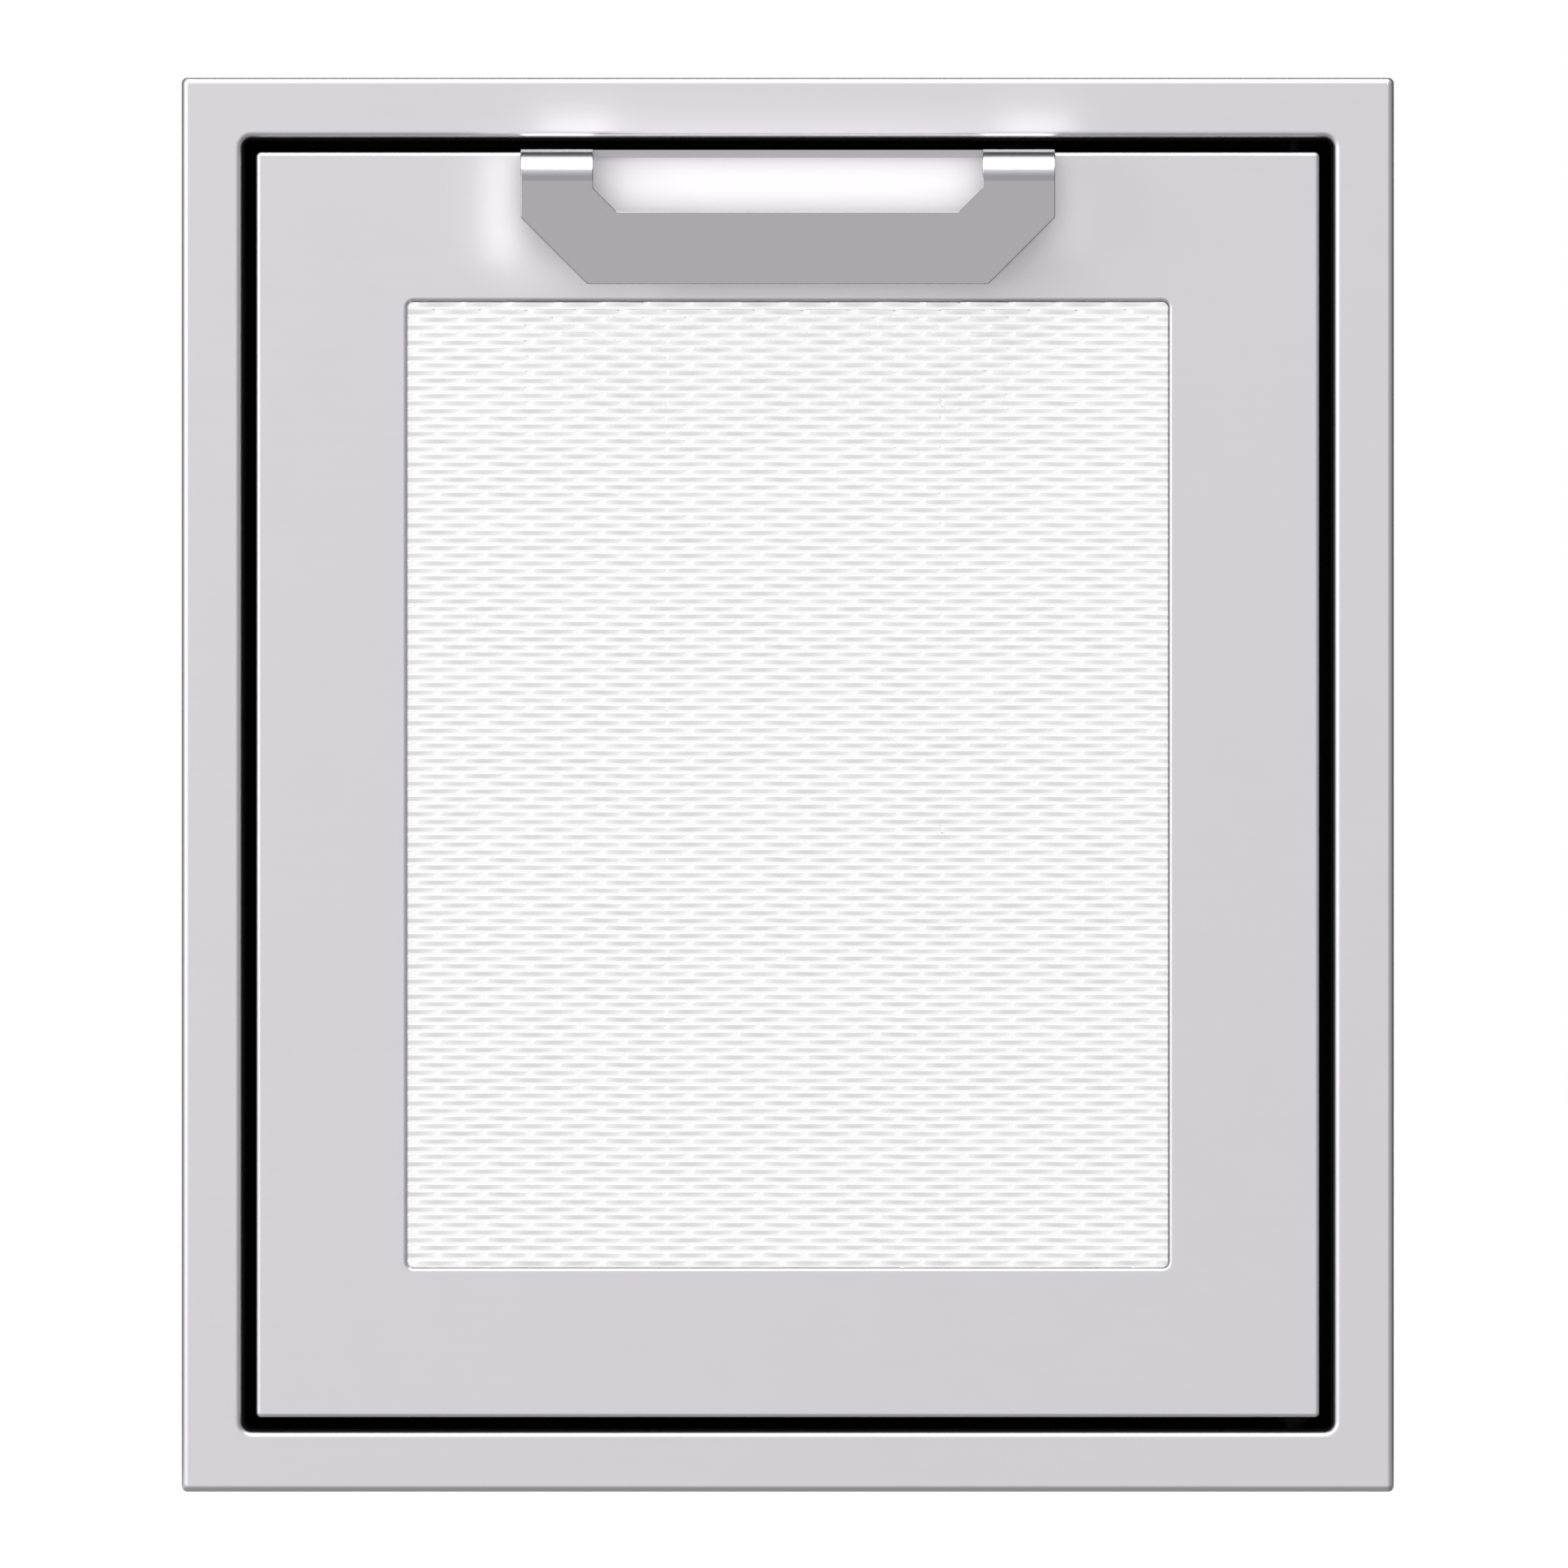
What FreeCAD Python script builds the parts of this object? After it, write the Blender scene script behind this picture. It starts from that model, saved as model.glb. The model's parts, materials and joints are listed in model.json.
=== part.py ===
"""Flush access door for an outdoor kitchen island.

A folded stainless trim frame lines a cut-out in the island's front wall. A double skinned
door lies flush inside it and turns on two concealed pivots. The upper pivot is a sprung pin
that is pulled down to lift the door out.

Millimetres. X is to the right as seen from the front, Y goes into the island and Z is up.
The origin is the centre of the opening, on the plane of the wall's front face.
"""
import FreeCAD, Part
import os
import re

import Sketcher
from FreeCAD import Placement, Rotation, Vector

# Driving dimensions, each with the words that a maker would use for it.
SIZES = {
    "flange_width": (457.2, "trim frame, overall width, 18 inches"),
    "flange_height": (533.4, "trim frame, overall height, 21 inches"),
    "flange_face": (22.7, "width of the trim's visible face"),
    "flange_depth": (8, "how far the trim stands off the wall"),
    "flange_return": (9, "lip turned in against the wall"),
    "frame_sheet": (1.2, "sheet of the trim frame"),
    "frame_bend": (2.6, "outside radius of the trim's bends"),
    "frame_corner": (2.2, "outer corners of the trim"),
    "opening_corner": (3.7, "corners of the opening"),
    "jamb_depth": (22, "jamb, from the wall plane inwards"),
    "liner_sheet": (1.2, "sheet of the sleeve inside the wall"),
    "liner_start": (8, "where the sleeve starts to lap the jamb"),
    "liner_depth": (56, "sleeve, from the wall plane inwards"),
    "liner_lip": (10, "stiffening lip at the sleeve's rear edge"),
    "liner_tab": (14, "corner tabs of the upper and lower sleeve"),
    "stop_sheet": (1.5, "sheet of the stop angles"),
    "stop_short": (16, "stop angles, short of the sleeve's rear edge"),
    "stop_width": (16, "leg of a stop angle that faces the door"),
    "reveal": (5.4, "open gap round the door"),
    "door_depth": (18, "thickness of the door"),
    "door_sheet": (1.2, "sheet of the outer door skin"),
    "door_bend": (1.6, "outside radius of the door's bends"),
    "door_corner": (1.7, "corners of the door"),
    "window_margin": (57.1, "door's side edge to the window's clear edge"),
    "window_end_margin": (56.5, "door's upper edge to the window's clear edge"),
    "window_corner": (2.2, "corners of the window"),
    "window_curl": (1.8, "radius of the window's curled edge"),
    "window_recess": (3, "door face to the textured sheet"),
    "insert_sheet": (1, "textured sheet"),
    "insert_lap": (12, "textured sheet behind the window's edge"),
    "clamp_sheet": (1.5, "clamp strips"),
    "clamp_width": (25, "clamp strips"),
    "clamp_inset": (1.5, "clamp strip back from the window's clear edge"),
    "stud_inset": (18, "stud from the window's clear edge"),
    "stud_diameter": (4, "weld studs"),
    "stud_length": (9, "weld studs"),
    "stud_chamfer": (0.5, "tips of the weld studs"),
    "stud_end_cross": (18.4, "outer studs of the upper and lower clamps"),
    "stud_end_side": (86.5, "studs of the side clamps from the window's ends"),
    "nut_width": (7, "nuts, across the flats"),
    "nut_height": (2.6, "nuts"),
    "pan_sheet": (1.2, "sheet of the door's back pan"),
    "pan_wall": (5.4, "rim of the back pan"),
    "pan_gap": (0.1, "play between the back pan and the skin"),
    "handle_width": (201.4, "handle"),
    "handle_height": (50.9, "handle"),
    "handle_plate": (3, "plate of the handle"),
    "handle_reach": (35, "door face to the handle's front"),
    "handle_roll": (12, "outside radius of the rolled ears"),
    "ear_width": (27.4, "rolled ears of the handle"),
    "finger_depth": (23.5, "finger opening, down from the handle's top"),
    "finger_start": (3, "finger opening, forward of the door face"),
    "finger_cut": (8.8, "cut lower corners of the finger opening"),
    "handle_cut": (25.2, "cut lower corners of the handle"),
    "corner_round": (1.5, "rounding of the handle's cut corners"),
    "handle_edge": (0.4, "broken edges of the handle"),
    "tongue_depth": (11.5, "handle's tongue, into the door's top edge"),
    "tongue_gap": (0.2, "play round the tongue"),
    "tongue_rise": (0.8, "handle's tongue, above the door's top edge"),
    "bar_short": (8, "bar inside each end of the tongue"),
    "bar_height": (8, "bar under the handle's tongue"),
    "handle_screw_inner": (30, "inner handle screws from the centre"),
    "handle_screw_end": (16, "outer handle screws from the handle's ends"),
    "handle_screw_back": (7, "handle screws behind the door's face"),
    "screw_shank": (3.9, "countersunk machine screws"),
    "screw_head": (7.4, "countersunk machine screws"),
    "screw_head_height": (2, "countersunk machine screws"),
    "screw_length": (9, "countersunk machine screws"),
    "screw_spare": (0.5, "tapped holes past the screw's end"),
    "hole_gap": (0.1, "play round fasteners, on the diameter"),
    "cut_past": (1, "how far a cut runs past a surface, so that it leaves no skin"),
    "axis_inset": (9, "pivot axis in from the door's edge and face"),
    "block_left": (12, "pivot blocks, from the axis towards the latch"),
    "block_right": (6, "pivot blocks, from the axis towards the hinge edge"),
    "upper_block_height": (60, "upper pivot block"),
    "lower_block_height": (24, "lower pivot block"),
    "lug_height": (11, "lugs of the upper pivot block"),
    "block_web": (2.3, "web of the upper pivot block"),
    "block_screw_left": (9, "block screws from the pivot axis"),
    "pin_diameter": (6, "sprung release pin"),
    "pin_rise": (5, "release pin above the opening's upper edge"),
    "pin_length": (69, "release pin"),
    "pin_chamfer": (0.8, "ends of the release pin"),
    "pin_play": (0.05, "radial play of a pin in its bore"),
    "pin_travel": (10.5, "travel of the release pin"),
    "pin_hole_gap": (0.75, "trim's hole round the release pin"),
    "shoulder_hole_gap": (0.3, "trim's hole round the lower pin's shoulder"),
    "lining_hole_gap": (0.25, "holes of the rubber lining, wider than the trim's"),
    "door_hole_gap": (0.5, "free holes round the pins in the door"),
    "collar_diameter": (9.6, "collar of the thumb tab"),
    "collar_height": (3, "collar of the thumb tab"),
    "collar_drop": (17, "door's top edge to the collar's underside"),
    "tab_width": (5, "thumb tab"),
    "tab_reach": (6, "thumb tab behind the door"),
    "tab_gap": (1, "play round the thumb tab in its slot"),
    "spring_wire": (1, "release spring"),
    "spring_diameter": (8.2, "release spring, mean"),
    "spring_turns": (7, "release spring"),
    "bracket_sheet": (3, "hinge brackets"),
    "bracket_left": (26, "hinge brackets, from the axis towards the latch"),
    "bracket_front": (6.4, "hinge brackets, forward of the wall plane"),
    "bracket_end": (3, "hinge brackets, short of the sleeve's rear edge"),
    "bracket_edge": (2, "hinge bracket from the opening's side"),
    "bracket_screw_inset": (9, "bracket screws from the sleeve's rear edge"),
    "bracket_screw_left": (5, "nearer bracket screw from the pivot axis"),
    "bracket_screw_space": (14, "between the bracket screws"),
    "bolt_shank": (4.9, "bracket screws"),
    "bolt_head": (9, "bracket screws"),
    "bolt_head_height": (2.6, "bracket screws"),
    "bolt_spare": (1, "bracket screws past their nuts"),
    "bolt_nut_width": (8, "bracket nuts, across the flats"),
    "bolt_nut_height": (4, "bracket nuts"),
    "bush_flange": (13, "flanges of the bushes"),
    "bush_barrel": (10, "barrel of the upper bush"),
    "pivot_diameter": (8, "fixed lower pivot pin"),
    "pivot_shoulder": (11, "shoulder of the lower pivot pin"),
    "pivot_chamfer": (1, "tip of the lower pivot pin"),
    "pivot_reach": (10.6, "lower pivot pin inside the door"),
    "pivot_foot": (11, "riveted foot of the lower pivot pin"),
    "pivot_foot_height": (1.5, "riveted foot of the lower pivot pin"),
    "washer_thickness": (0.8, "thrust washer"),
    "washer_diameter": (13, "thrust washer"),
    "lower_bush_barrel": (11, "barrel of the lower bush"),
    "lower_bush_flange": (1.2, "flange thickness of the lower bush"),
    "lower_bush_length": (12, "barrel of the lower bush"),
    "trim_rubber": (1, "rubber lining of the reveal"),
    "trim_set_back": (2.2, "rubber lining behind the trim's face"),
    "seal_base": (3.6, "base of the seals"),
    "seal_width": (12.8, "base of the seals"),
    "seal_bulb": (8.4, "bulb of the seals, outside"),
    "seal_wall": (1.2, "wall of the bulb"),
    "seal_inset": (3, "bulb's centre in from the door's edge"),
    "seal_gap": (0.3, "closed door to the bulb"),
    "seal_clear": (11, "bulb's end from the pivot axis"),
    "rivet_head": (6.2, "domed rivets"),
    "rivet_head_height": (1.2, "domed rivets"),
    "rivet_dome": (0.96, "rounding of the domed rivets"),
    "rivet_shank": (3.2, "rivets"),
    "rivet_tail": (4.6, "rivets, set end"),
    "rivet_tail_height": (1.2, "rivets, set end"),
    "side_rivet_end": (55.2, "side stop angle's rivets from the jamb's ends"),
    "cross_rivet_end": (57.1, "upper and lower angle's rivets from the jamb's sides"),
    "tab_rivet_drop": (8, "corner rivets from the sleeve's top"),
    "flush_head": (5.4, "flush rivets"),
    "flush_head_height": (1, "flush rivets"),
    "rim_rivet_inset": (3.6, "flush rivets ahead of the door's back"),
    "rim_rivet_end_side": (88.6, "flush rivets of the sides from the door's ends"),
    "rim_rivet_end_cross": (60.5, "flush rivets of the top and bottom from the door's sides"),
    "strike_height": (52, "strike plate"),
    "strike_width": (16, "strike plate"),
    "strike_sheet": (1.5, "strike plate"),
    "strike_rivet_space": (36, "between the strike plate's rivets"),
    "catch_inset": (16.5, "catch centre in from the door's edge"),
    "catch_width": (13, "magnet housing"),
    "catch_height": (44, "magnet housing"),
    "catch_depth": (17, "magnet housing"),
    "catch_gap": (0.2, "closed strike plate to the pole plates"),
    "catch_flange": (3, "mounting flange of the magnet housing"),
    "catch_ear": (13.5, "mounting flange beside the magnet housing"),
    "catch_screw_space": (30, "screws of the magnet housing"),
    "catch_screw_inset": (7, "catch screws from the housing's side"),
    "catch_screw_shank": (2.9, "catch screws"),
    "catch_screw_head": (5.6, "catch screws"),
    "catch_screw_head_height": (1.8, "catch screws"),
    "magnet_width": (5, "magnet"),
    "magnet_height": (26, "magnet"),
    "magnet_depth": (8, "magnet"),
    "pole_sheet": (1.5, "pole plates"),
    "pole_proud": (0.8, "pole plates ahead of the housing"),
    "wall_hole": (5, "installation screw holes in the sleeve"),
    "wall_hole_inset": (8, "installation holes from the sleeve's rear edge"),
    "wall_hole_end": (65.2, "installation holes from the jamb's ends"),
}

# Coordinates closer than this are the same, and a cut takes away more than this.
SAME = 0.01
LEAST_CUT = 0.001

# Rounding, socket width and socket floor of a screw head, as shares of its own size.
HEAD_DOME = "0.6"
SOCKET_WIDTH = "0.4"
SOCKET_FLOOR = "0.4"

doc = FreeCAD.newDocument("AccessDoor")
sheet = doc.addObject("Spreadsheet::Sheet", "Sizes")
for row, (alias, (value, words)) in enumerate(SIZES.items(), start=1):
    sheet.set(f"A{row}", words)
    sheet.set(f"B{row}", str(value))
    sheet.setAlias(f"B{row}", alias)
doc.recompute()

# Places that many pieces share, worked out from the sheet's values.
OPEN_X = "(flange_width / 2 - flange_face)"
OPEN_Z = "(flange_height / 2 - flange_face)"
DOOR_X = f"({OPEN_X} - reveal)"
DOOR_Z = f"({OPEN_Z} - reveal)"
FACE_Y = "(-flange_depth)"
BACK_Y = "(door_depth - flange_depth)"
AXIS_X = f"({DOOR_X} - axis_inset)"
AXIS_Y = "(axis_inset - flange_depth)"
WINDOW_X = f"({DOOR_X} - window_margin)"
WINDOW_Z = f"({DOOR_Z} - window_end_margin)"
JAMB_X = f"({OPEN_X} + frame_sheet)"
JAMB_Z = f"({OPEN_Z} + frame_sheet)"
LINER_X = f"({JAMB_X} + liner_sheet)"
LINER_Z = f"({JAMB_Z} + liner_sheet)"
INNER_X = f"({DOOR_X} - door_sheet)"
INNER_Z = f"({DOOR_Z} - door_sheet)"
INNER_FRONT = f"({FACE_Y} + door_sheet)"
PAN_FRONT = f"({BACK_Y} - pan_sheet)"
INSERT_BACK = f"({FACE_Y} + window_recess + insert_sheet)"
CLAMP_BACK = f"({INSERT_BACK} + clamp_sheet)"
HANDLE_TOP = f"({DOOR_Z} + tongue_rise)"
TONGUE_Z = f"({HANDLE_TOP} - handle_plate)"
TONGUE_BACK = f"({FACE_Y} + tongue_depth)"
HANDLE_FRONT = f"({FACE_Y} - handle_reach)"
COLLAR_Z = f"({DOOR_Z} - collar_drop)"
CATCH_X = f"(-{DOOR_X} + catch_inset)"
STRIKE_BACK = f"({BACK_Y} + strike_sheet)"
CATCH_FRONT = f"({STRIKE_BACK} + catch_gap + pole_proud)"
STOP_BACK = "(jamb_depth + stop_sheet)"
RIM_RIVET_Y = f"({BACK_Y} - rim_rivet_inset)"
LINING_X = f"({OPEN_X} - trim_rubber)"
LINING_Z = f"({OPEN_Z} - trim_rubber)"
SEAL_FRONT = "(jamb_depth - seal_base)"
BULB_Y = f"({BACK_Y} + seal_gap + seal_bulb / 2)"
STOP_Z = f"({JAMB_Z} - stop_width)"
BLOCK_SCREW_X = f"({AXIS_X} - block_screw_left)"
STOP_END = "(liner_depth - stop_short)"
STOP_RIVET_Y = f"((jamb_depth + 2 * {STOP_END}) / 3)"
SIDE_RIVET_Z = f"({JAMB_Z} - side_rivet_end)"
CROSS_RIVET_X = f"({JAMB_X} - cross_rivet_end)"
WALL_HOLE_Y = "(liner_depth - wall_hole_inset)"
WALL_HOLE_Z = f"({JAMB_Z} - wall_hole_end)"
BRACKET_SCREW_Y = "(liner_depth - bracket_screw_inset)"
RIM_RIVET_X = f"({DOOR_X} - rim_rivet_end_cross)"
RIM_RIVET_Z = f"({DOOR_Z} - rim_rivet_end_side)"
PIN_TOP = f"({OPEN_Z} + pin_rise)"
BAR_X = "(handle_width / 2 - bar_short)"
CORNER_RIVET_Z = f"({JAMB_Z} - tab_rivet_drop)"
UPPER_HOLE = "(pin_diameter + 2 * pin_hole_gap)"
LOWER_HOLE = "(pivot_shoulder + 2 * shoulder_hole_gap)"


def bound(text):
    """Write an expression's size names as cells of the sheet."""
    named = r"\b(" + "|".join(SIZES) + r")\b"
    return re.sub(named, r"Sizes.\1", text)


def number(text):
    """The value of an expression, for choosing edges and for a sketch's first guess."""
    result = sheet.evalExpression(bound(text))
    return float(getattr(result, "Value", result))


def new_body(label):
    """A PartDesign body named for its sub-part."""
    body = doc.addObject("PartDesign::Body", label)
    body.Label = label
    return body


def sketch(body, name, plane, level):
    """An empty sketch parallel to one of the body's own planes, at a given coordinate."""
    made = body.newObject("Sketcher::SketchObject", name)
    planes = [item for item in body.Origin.OriginFeatures if item.Role == plane]
    made.AttachmentSupport = [(planes[0], "")]
    made.MapMode = "FlatFace"
    towards = -1 if plane == "XZ_Plane" else 1
    made.setExpression("AttachmentOffset.Base.z", bound(f"{towards} * ({level})"))
    return made


def outline(body, name, plane, level, points):
    """A closed outline of straight edges, each corner held by two bound distances."""
    made = sketch(body, name, plane, level)
    places = [Vector(number(across), number(up), 0) for across, up in points]
    total = len(places)
    lines = [Part.LineSegment(places[i], places[(i + 1) % total]) for i in range(total)]
    made.addGeometry(lines, False)
    joins = [Sketcher.Constraint("Coincident", i, 2, (i + 1) % total, 1) for i in range(total)]
    made.addConstraint(joins)
    for i, (across, up) in enumerate(points):
        for kind, text, value in (("DistanceX", across, places[i].x), ("DistanceY", up, places[i].y)):
            index = made.addConstraint(Sketcher.Constraint(kind, -1, 1, i, 1, value))
            made.setExpression(f"Constraints[{index}]", bound(text))
    return made


def rectangle(body, name, plane, level, across, up):
    """A rectangle between two pairs of bounds."""
    corners = [(across[0], up[0]), (across[1], up[0]), (across[1], up[1]), (across[0], up[1])]
    return outline(body, name, plane, level, corners)


def centred(half):
    """Bounds at equal distance on both sides of the middle."""
    return (f"-{half}", half)


def pad(body, name, profile, length):
    """Material along the sketch's normal."""
    made = body.newObject("PartDesign::Pad", name)
    made.Profile = profile
    made.setExpression("Length", bound(length))
    doc.recompute()
    return made


def pocket(body, name, profile, depth, forwards=True):
    """A cut from the sketch, along its normal or back; the volume shows that it cuts."""
    before = body.Shape.Volume
    made = body.newObject("PartDesign::Pocket", name)
    made.Profile = profile
    made.Reversed = forwards
    made.setExpression("Length", bound(depth))
    doc.recompute()
    if body.Shape.Volume >= before - LEAST_CUT:
        raise RuntimeError(f"{body.Label}: {name} cuts nothing")
    return made


def place(item, across, depth, up):
    """Bind the three coordinates of an object's own placement."""
    for axis, text in zip("xyz", (across, depth, up)):
        item.setExpression(f"Placement.Base.{axis}", bound(text))


def block(body, name, across, depth, up, cut=False):
    """A rectangular block, or a cut of that shape, between three pairs of bounds."""
    kind = "Subtractive" if cut else "Additive"
    before = body.Shape.Volume if cut else 0
    made = body.newObject(f"PartDesign::{kind}Box", name)
    made.setExpression("Length", bound(f"({across[1]}) - ({across[0]})"))
    made.setExpression("Width", bound(f"({depth[1]}) - ({depth[0]})"))
    made.setExpression("Height", bound(f"({up[1]}) - ({up[0]})"))
    place(made, across[0], depth[0], up[0])
    doc.recompute()
    if cut and body.Shape.Volume >= before - LEAST_CUT:
        raise RuntimeError(f"{body.Label}: {name} cuts nothing")
    return made


TURNS = {"x": Rotation(Vector(0, 1, 0), 90), "y": Rotation(Vector(1, 0, 0), -90), "z": Rotation()}


def rod(body, name, axis, start, length, diameter, cut=False):
    """A round rod, or a hole, from a start point along X, Y or Z."""
    kind = "Subtractive" if cut else "Additive"
    before = body.Shape.Volume if cut else 0
    made = body.newObject(f"PartDesign::{kind}Cylinder", name)
    made.Placement = Placement(Vector(), TURNS[axis])
    made.setExpression("Radius", bound(f"({diameter}) / 2"))
    made.setExpression("Height", bound(length))
    place(made, *start)
    doc.recompute()
    if cut and body.Shape.Volume >= before - LEAST_CUT:
        raise RuntimeError(f"{body.Label}: {name} cuts nothing")
    return made


def cone(body, name, axis, start, length, first, last, cut=False):
    """A cone between two diameters, or a countersink."""
    kind = "Subtractive" if cut else "Additive"
    made = body.newObject(f"PartDesign::{kind}Cone", name)
    made.Placement = Placement(Vector(), TURNS[axis])
    made.setExpression("Radius1", bound(f"({first}) / 2"))
    made.setExpression("Radius2", bound(f"({last}) / 2"))
    made.setExpression("Height", bound(length))
    place(made, *start)
    doc.recompute()
    return made


def dress(body, kind, name, size_property, size, chosen):
    """A fillet or chamfer on the edges of the body's last feature that pass a test."""
    edges = [f"Edge{i}" for i, edge in enumerate(body.Shape.Edges, start=1) if chosen(edge)]
    if not edges:
        raise RuntimeError(f"{body.Label}: {name} finds no edges")
    last = body.Tip
    made = body.newObject(kind, name)
    made.Base = (last, edges)
    made.setExpression(size_property, bound(size))
    doc.recompute()
    return made


def round_edges(body, name, radius, chosen):
    """Round the edges that pass a test."""
    return dress(body, "PartDesign::Fillet", name, "Radius", radius, chosen)


def cut_corners(body, name, size, chosen):
    """Cut the edges that pass a test at 45 degrees."""
    return dress(body, "PartDesign::Chamfer", name, "Size", size, chosen)


def runs_along(edge, axis):
    """Whether a straight edge lies along X, Y or Z."""
    if edge.Curve.TypeId != "Part::GeomLine":
        return False
    return abs(getattr(edge.tangentAt(edge.FirstParameter), axis)) > 0.999


def near(value, text):
    """Whether a coordinate is where an expression puts it."""
    return abs(value - number(text)) < SAME


def flat_at(edge, axis, text):
    """Whether a whole edge lies in the plane at a given coordinate."""
    box = edge.BoundBox
    low = getattr(box, axis.upper() + "Min")
    high = getattr(box, axis.upper() + "Max")
    return near(low, text) and near(high, text)


def copies(label, pattern, places):
    """A group of separate, identical fasteners: linked copies, each bound to its place."""
    links = []
    for i, (across, depth, up, turn) in enumerate(places, start=1):
        link = doc.addObject("App::Link", f"{label}_{i}")
        link.LinkedObject = pattern
        link.LinkTransform = False
        link.Placement = Placement(Vector(), turn)
        place(link, across, depth, up)
        links.append(link)
    group = doc.addObject("Part::Compound", label)
    group.Links = links
    group.Label = label
    doc.recompute()
    return group


# Fastener turns: a pattern fastener has its head at the top and its shank along -Z.
HEAD_UP = Rotation()
HEAD_DOWN = Rotation(Vector(1, 0, 0), 180)
HEAD_BACK = Rotation(Vector(1, 0, 0), -90)
HEAD_RIGHT = Rotation(Vector(0, 1, 0), 90)
HEAD_LEFT = Rotation(Vector(0, 1, 0), -90)


def span(side, near_text, far_text):
    """Bounds on the right (1) or left (-1), above (1) or below (-1) the middle."""
    if side > 0:
        return (near_text, far_text)
    return (f"-({far_text})", f"-({near_text})")


def at_side(side, text):
    """A coordinate on the right or left, above or below the middle."""
    return f"({side}) * ({text})"


def inside_rectangle(edge, half_x, half_z):
    """Whether an edge lies within a centred rectangle, seen from the front."""
    box = edge.BoundBox
    across = max(abs(box.XMin), abs(box.XMax))
    up = max(abs(box.ZMin), abs(box.ZMax))
    return across < number(half_x) + SAME and up < number(half_z) + SAME


def corner_edge(edge, half_x):
    """Whether an edge is one of four depthwise corner edges at a distance from the middle."""
    return runs_along(edge, "y") and near(abs(edge.BoundBox.XMin), half_x)


def ring(profile, half_x, half_z):
    """A second, inner rectangle in a sketch, which makes a frame of the first."""
    corners = [(-1, -1), (1, -1), (1, 1), (-1, 1)]
    wide = number(half_x)
    high = number(half_z)
    places = [Vector(a * wide, b * high, 0) for a, b in corners]
    first = len(profile.Geometry)
    lines = [Part.LineSegment(places[i], places[(i + 1) % 4]) for i in range(4)]
    profile.addGeometry(lines, False)
    for i in range(4):
        follows = first + (i + 1) % 4
        profile.addConstraint(Sketcher.Constraint("Coincident", first + i, 2, follows, 1))
    for i, (a, b) in enumerate(corners):
        for kind, text, side, value in (("DistanceX", half_x, a, wide), ("DistanceY", half_z, b, high)):
            held = Sketcher.Constraint(kind, -1, 1, first + i, 1, side * value)
            index = profile.addConstraint(held)
            profile.setExpression(f"Constraints[{index}]", bound(at_side(side, text)))


# Fasteners: each is modelled once, head up, and then copied to its places.


def make_rivet(label, grip, flush=False):
    """A set rivet through a stack of sheets whose head side is the plane of Z = 0."""
    body = new_body(label)
    if flush:
        cone(body, "Head", "z", ("0", "0", "-flush_head_height"), "flush_head_height",
             "rivet_shank", "flush_head")
    else:
        rod(body, "Head", "z", ("0", "0", "0"), "rivet_head_height", "rivet_head")
        round_edges(body, "Dome", "rivet_dome",
                    lambda e: flat_at(e, "z", "rivet_head_height"))
    rod(body, "Shank", "z", ("0", "0", f"-({grip})"), grip, "rivet_shank")
    rod(body, "Tail", "z", ("0", "0", f"-({grip}) - rivet_tail_height"), "rivet_tail_height",
        "rivet_tail")
    return body


def make_button_screw(label, head, head_height, shank, length):
    """A screw with a rounded head that sits on the plane of Z = 0."""
    body = new_body(label)
    rod(body, "Head", "z", ("0", "0", "0"), head_height, head)
    round_edges(body, "Dome", f"{head_height} * {HEAD_DOME}", lambda e: flat_at(e, "z", head_height))
    rod(body, "Shank", "z", ("0", "0", f"-({length})"), length, shank)
    rod(body, "Socket", "z", ("0", "0", f"{head_height} * {SOCKET_FLOOR}"), head_height,
        f"{head} * {SOCKET_WIDTH}", cut=True)
    return body


def make_countersunk_screw(label):
    """A countersunk screw whose head is flush with the plane of Z = 0."""
    body = new_body(label)
    cone(body, "Head", "z", ("0", "0", "-screw_head_height"), "screw_head_height",
         "screw_shank", "screw_head")
    rod(body, "Shank", "z", ("0", "0", "-screw_length"), "screw_length", "screw_shank")
    rod(body, "Socket", "z", ("0", "0", f"-screw_head_height * {HEAD_DOME}"), "screw_head_height",
        f"screw_head * {SOCKET_WIDTH}", cut=True)
    return body


def make_nut(label, width, height, thread):
    """A hexagon nut that stands on the plane of Z = 0."""
    body = new_body(label)
    prism = body.newObject("PartDesign::AdditivePrism", "Hexagon")
    prism.Polygon = 6
    prism.setExpression("Circumradius", bound(f"{width} / sqrt(3)"))
    prism.setExpression("Height", bound(height))
    doc.recompute()
    bore(body, "Bore", "z", ("0", "0", "0"), height, thread)
    return body


def bore(body, name, axis, start, length, diameter):
    """A round hole right through: the cut begins and ends outside the material."""
    begins = [f"({text}) - cut_past" if letter == axis else text for letter, text in zip("xyz", start)]
    rod(body, name, axis, begins, f"({length}) + 2 * cut_past", diameter, cut=True)


def hole(body, name, axis, start, length, diameter):
    """A hole right through for a fastener."""
    bore(body, name, axis, start, length, f"{diameter} + hole_gap")


# Frame: what is fixed in the wall.


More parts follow.
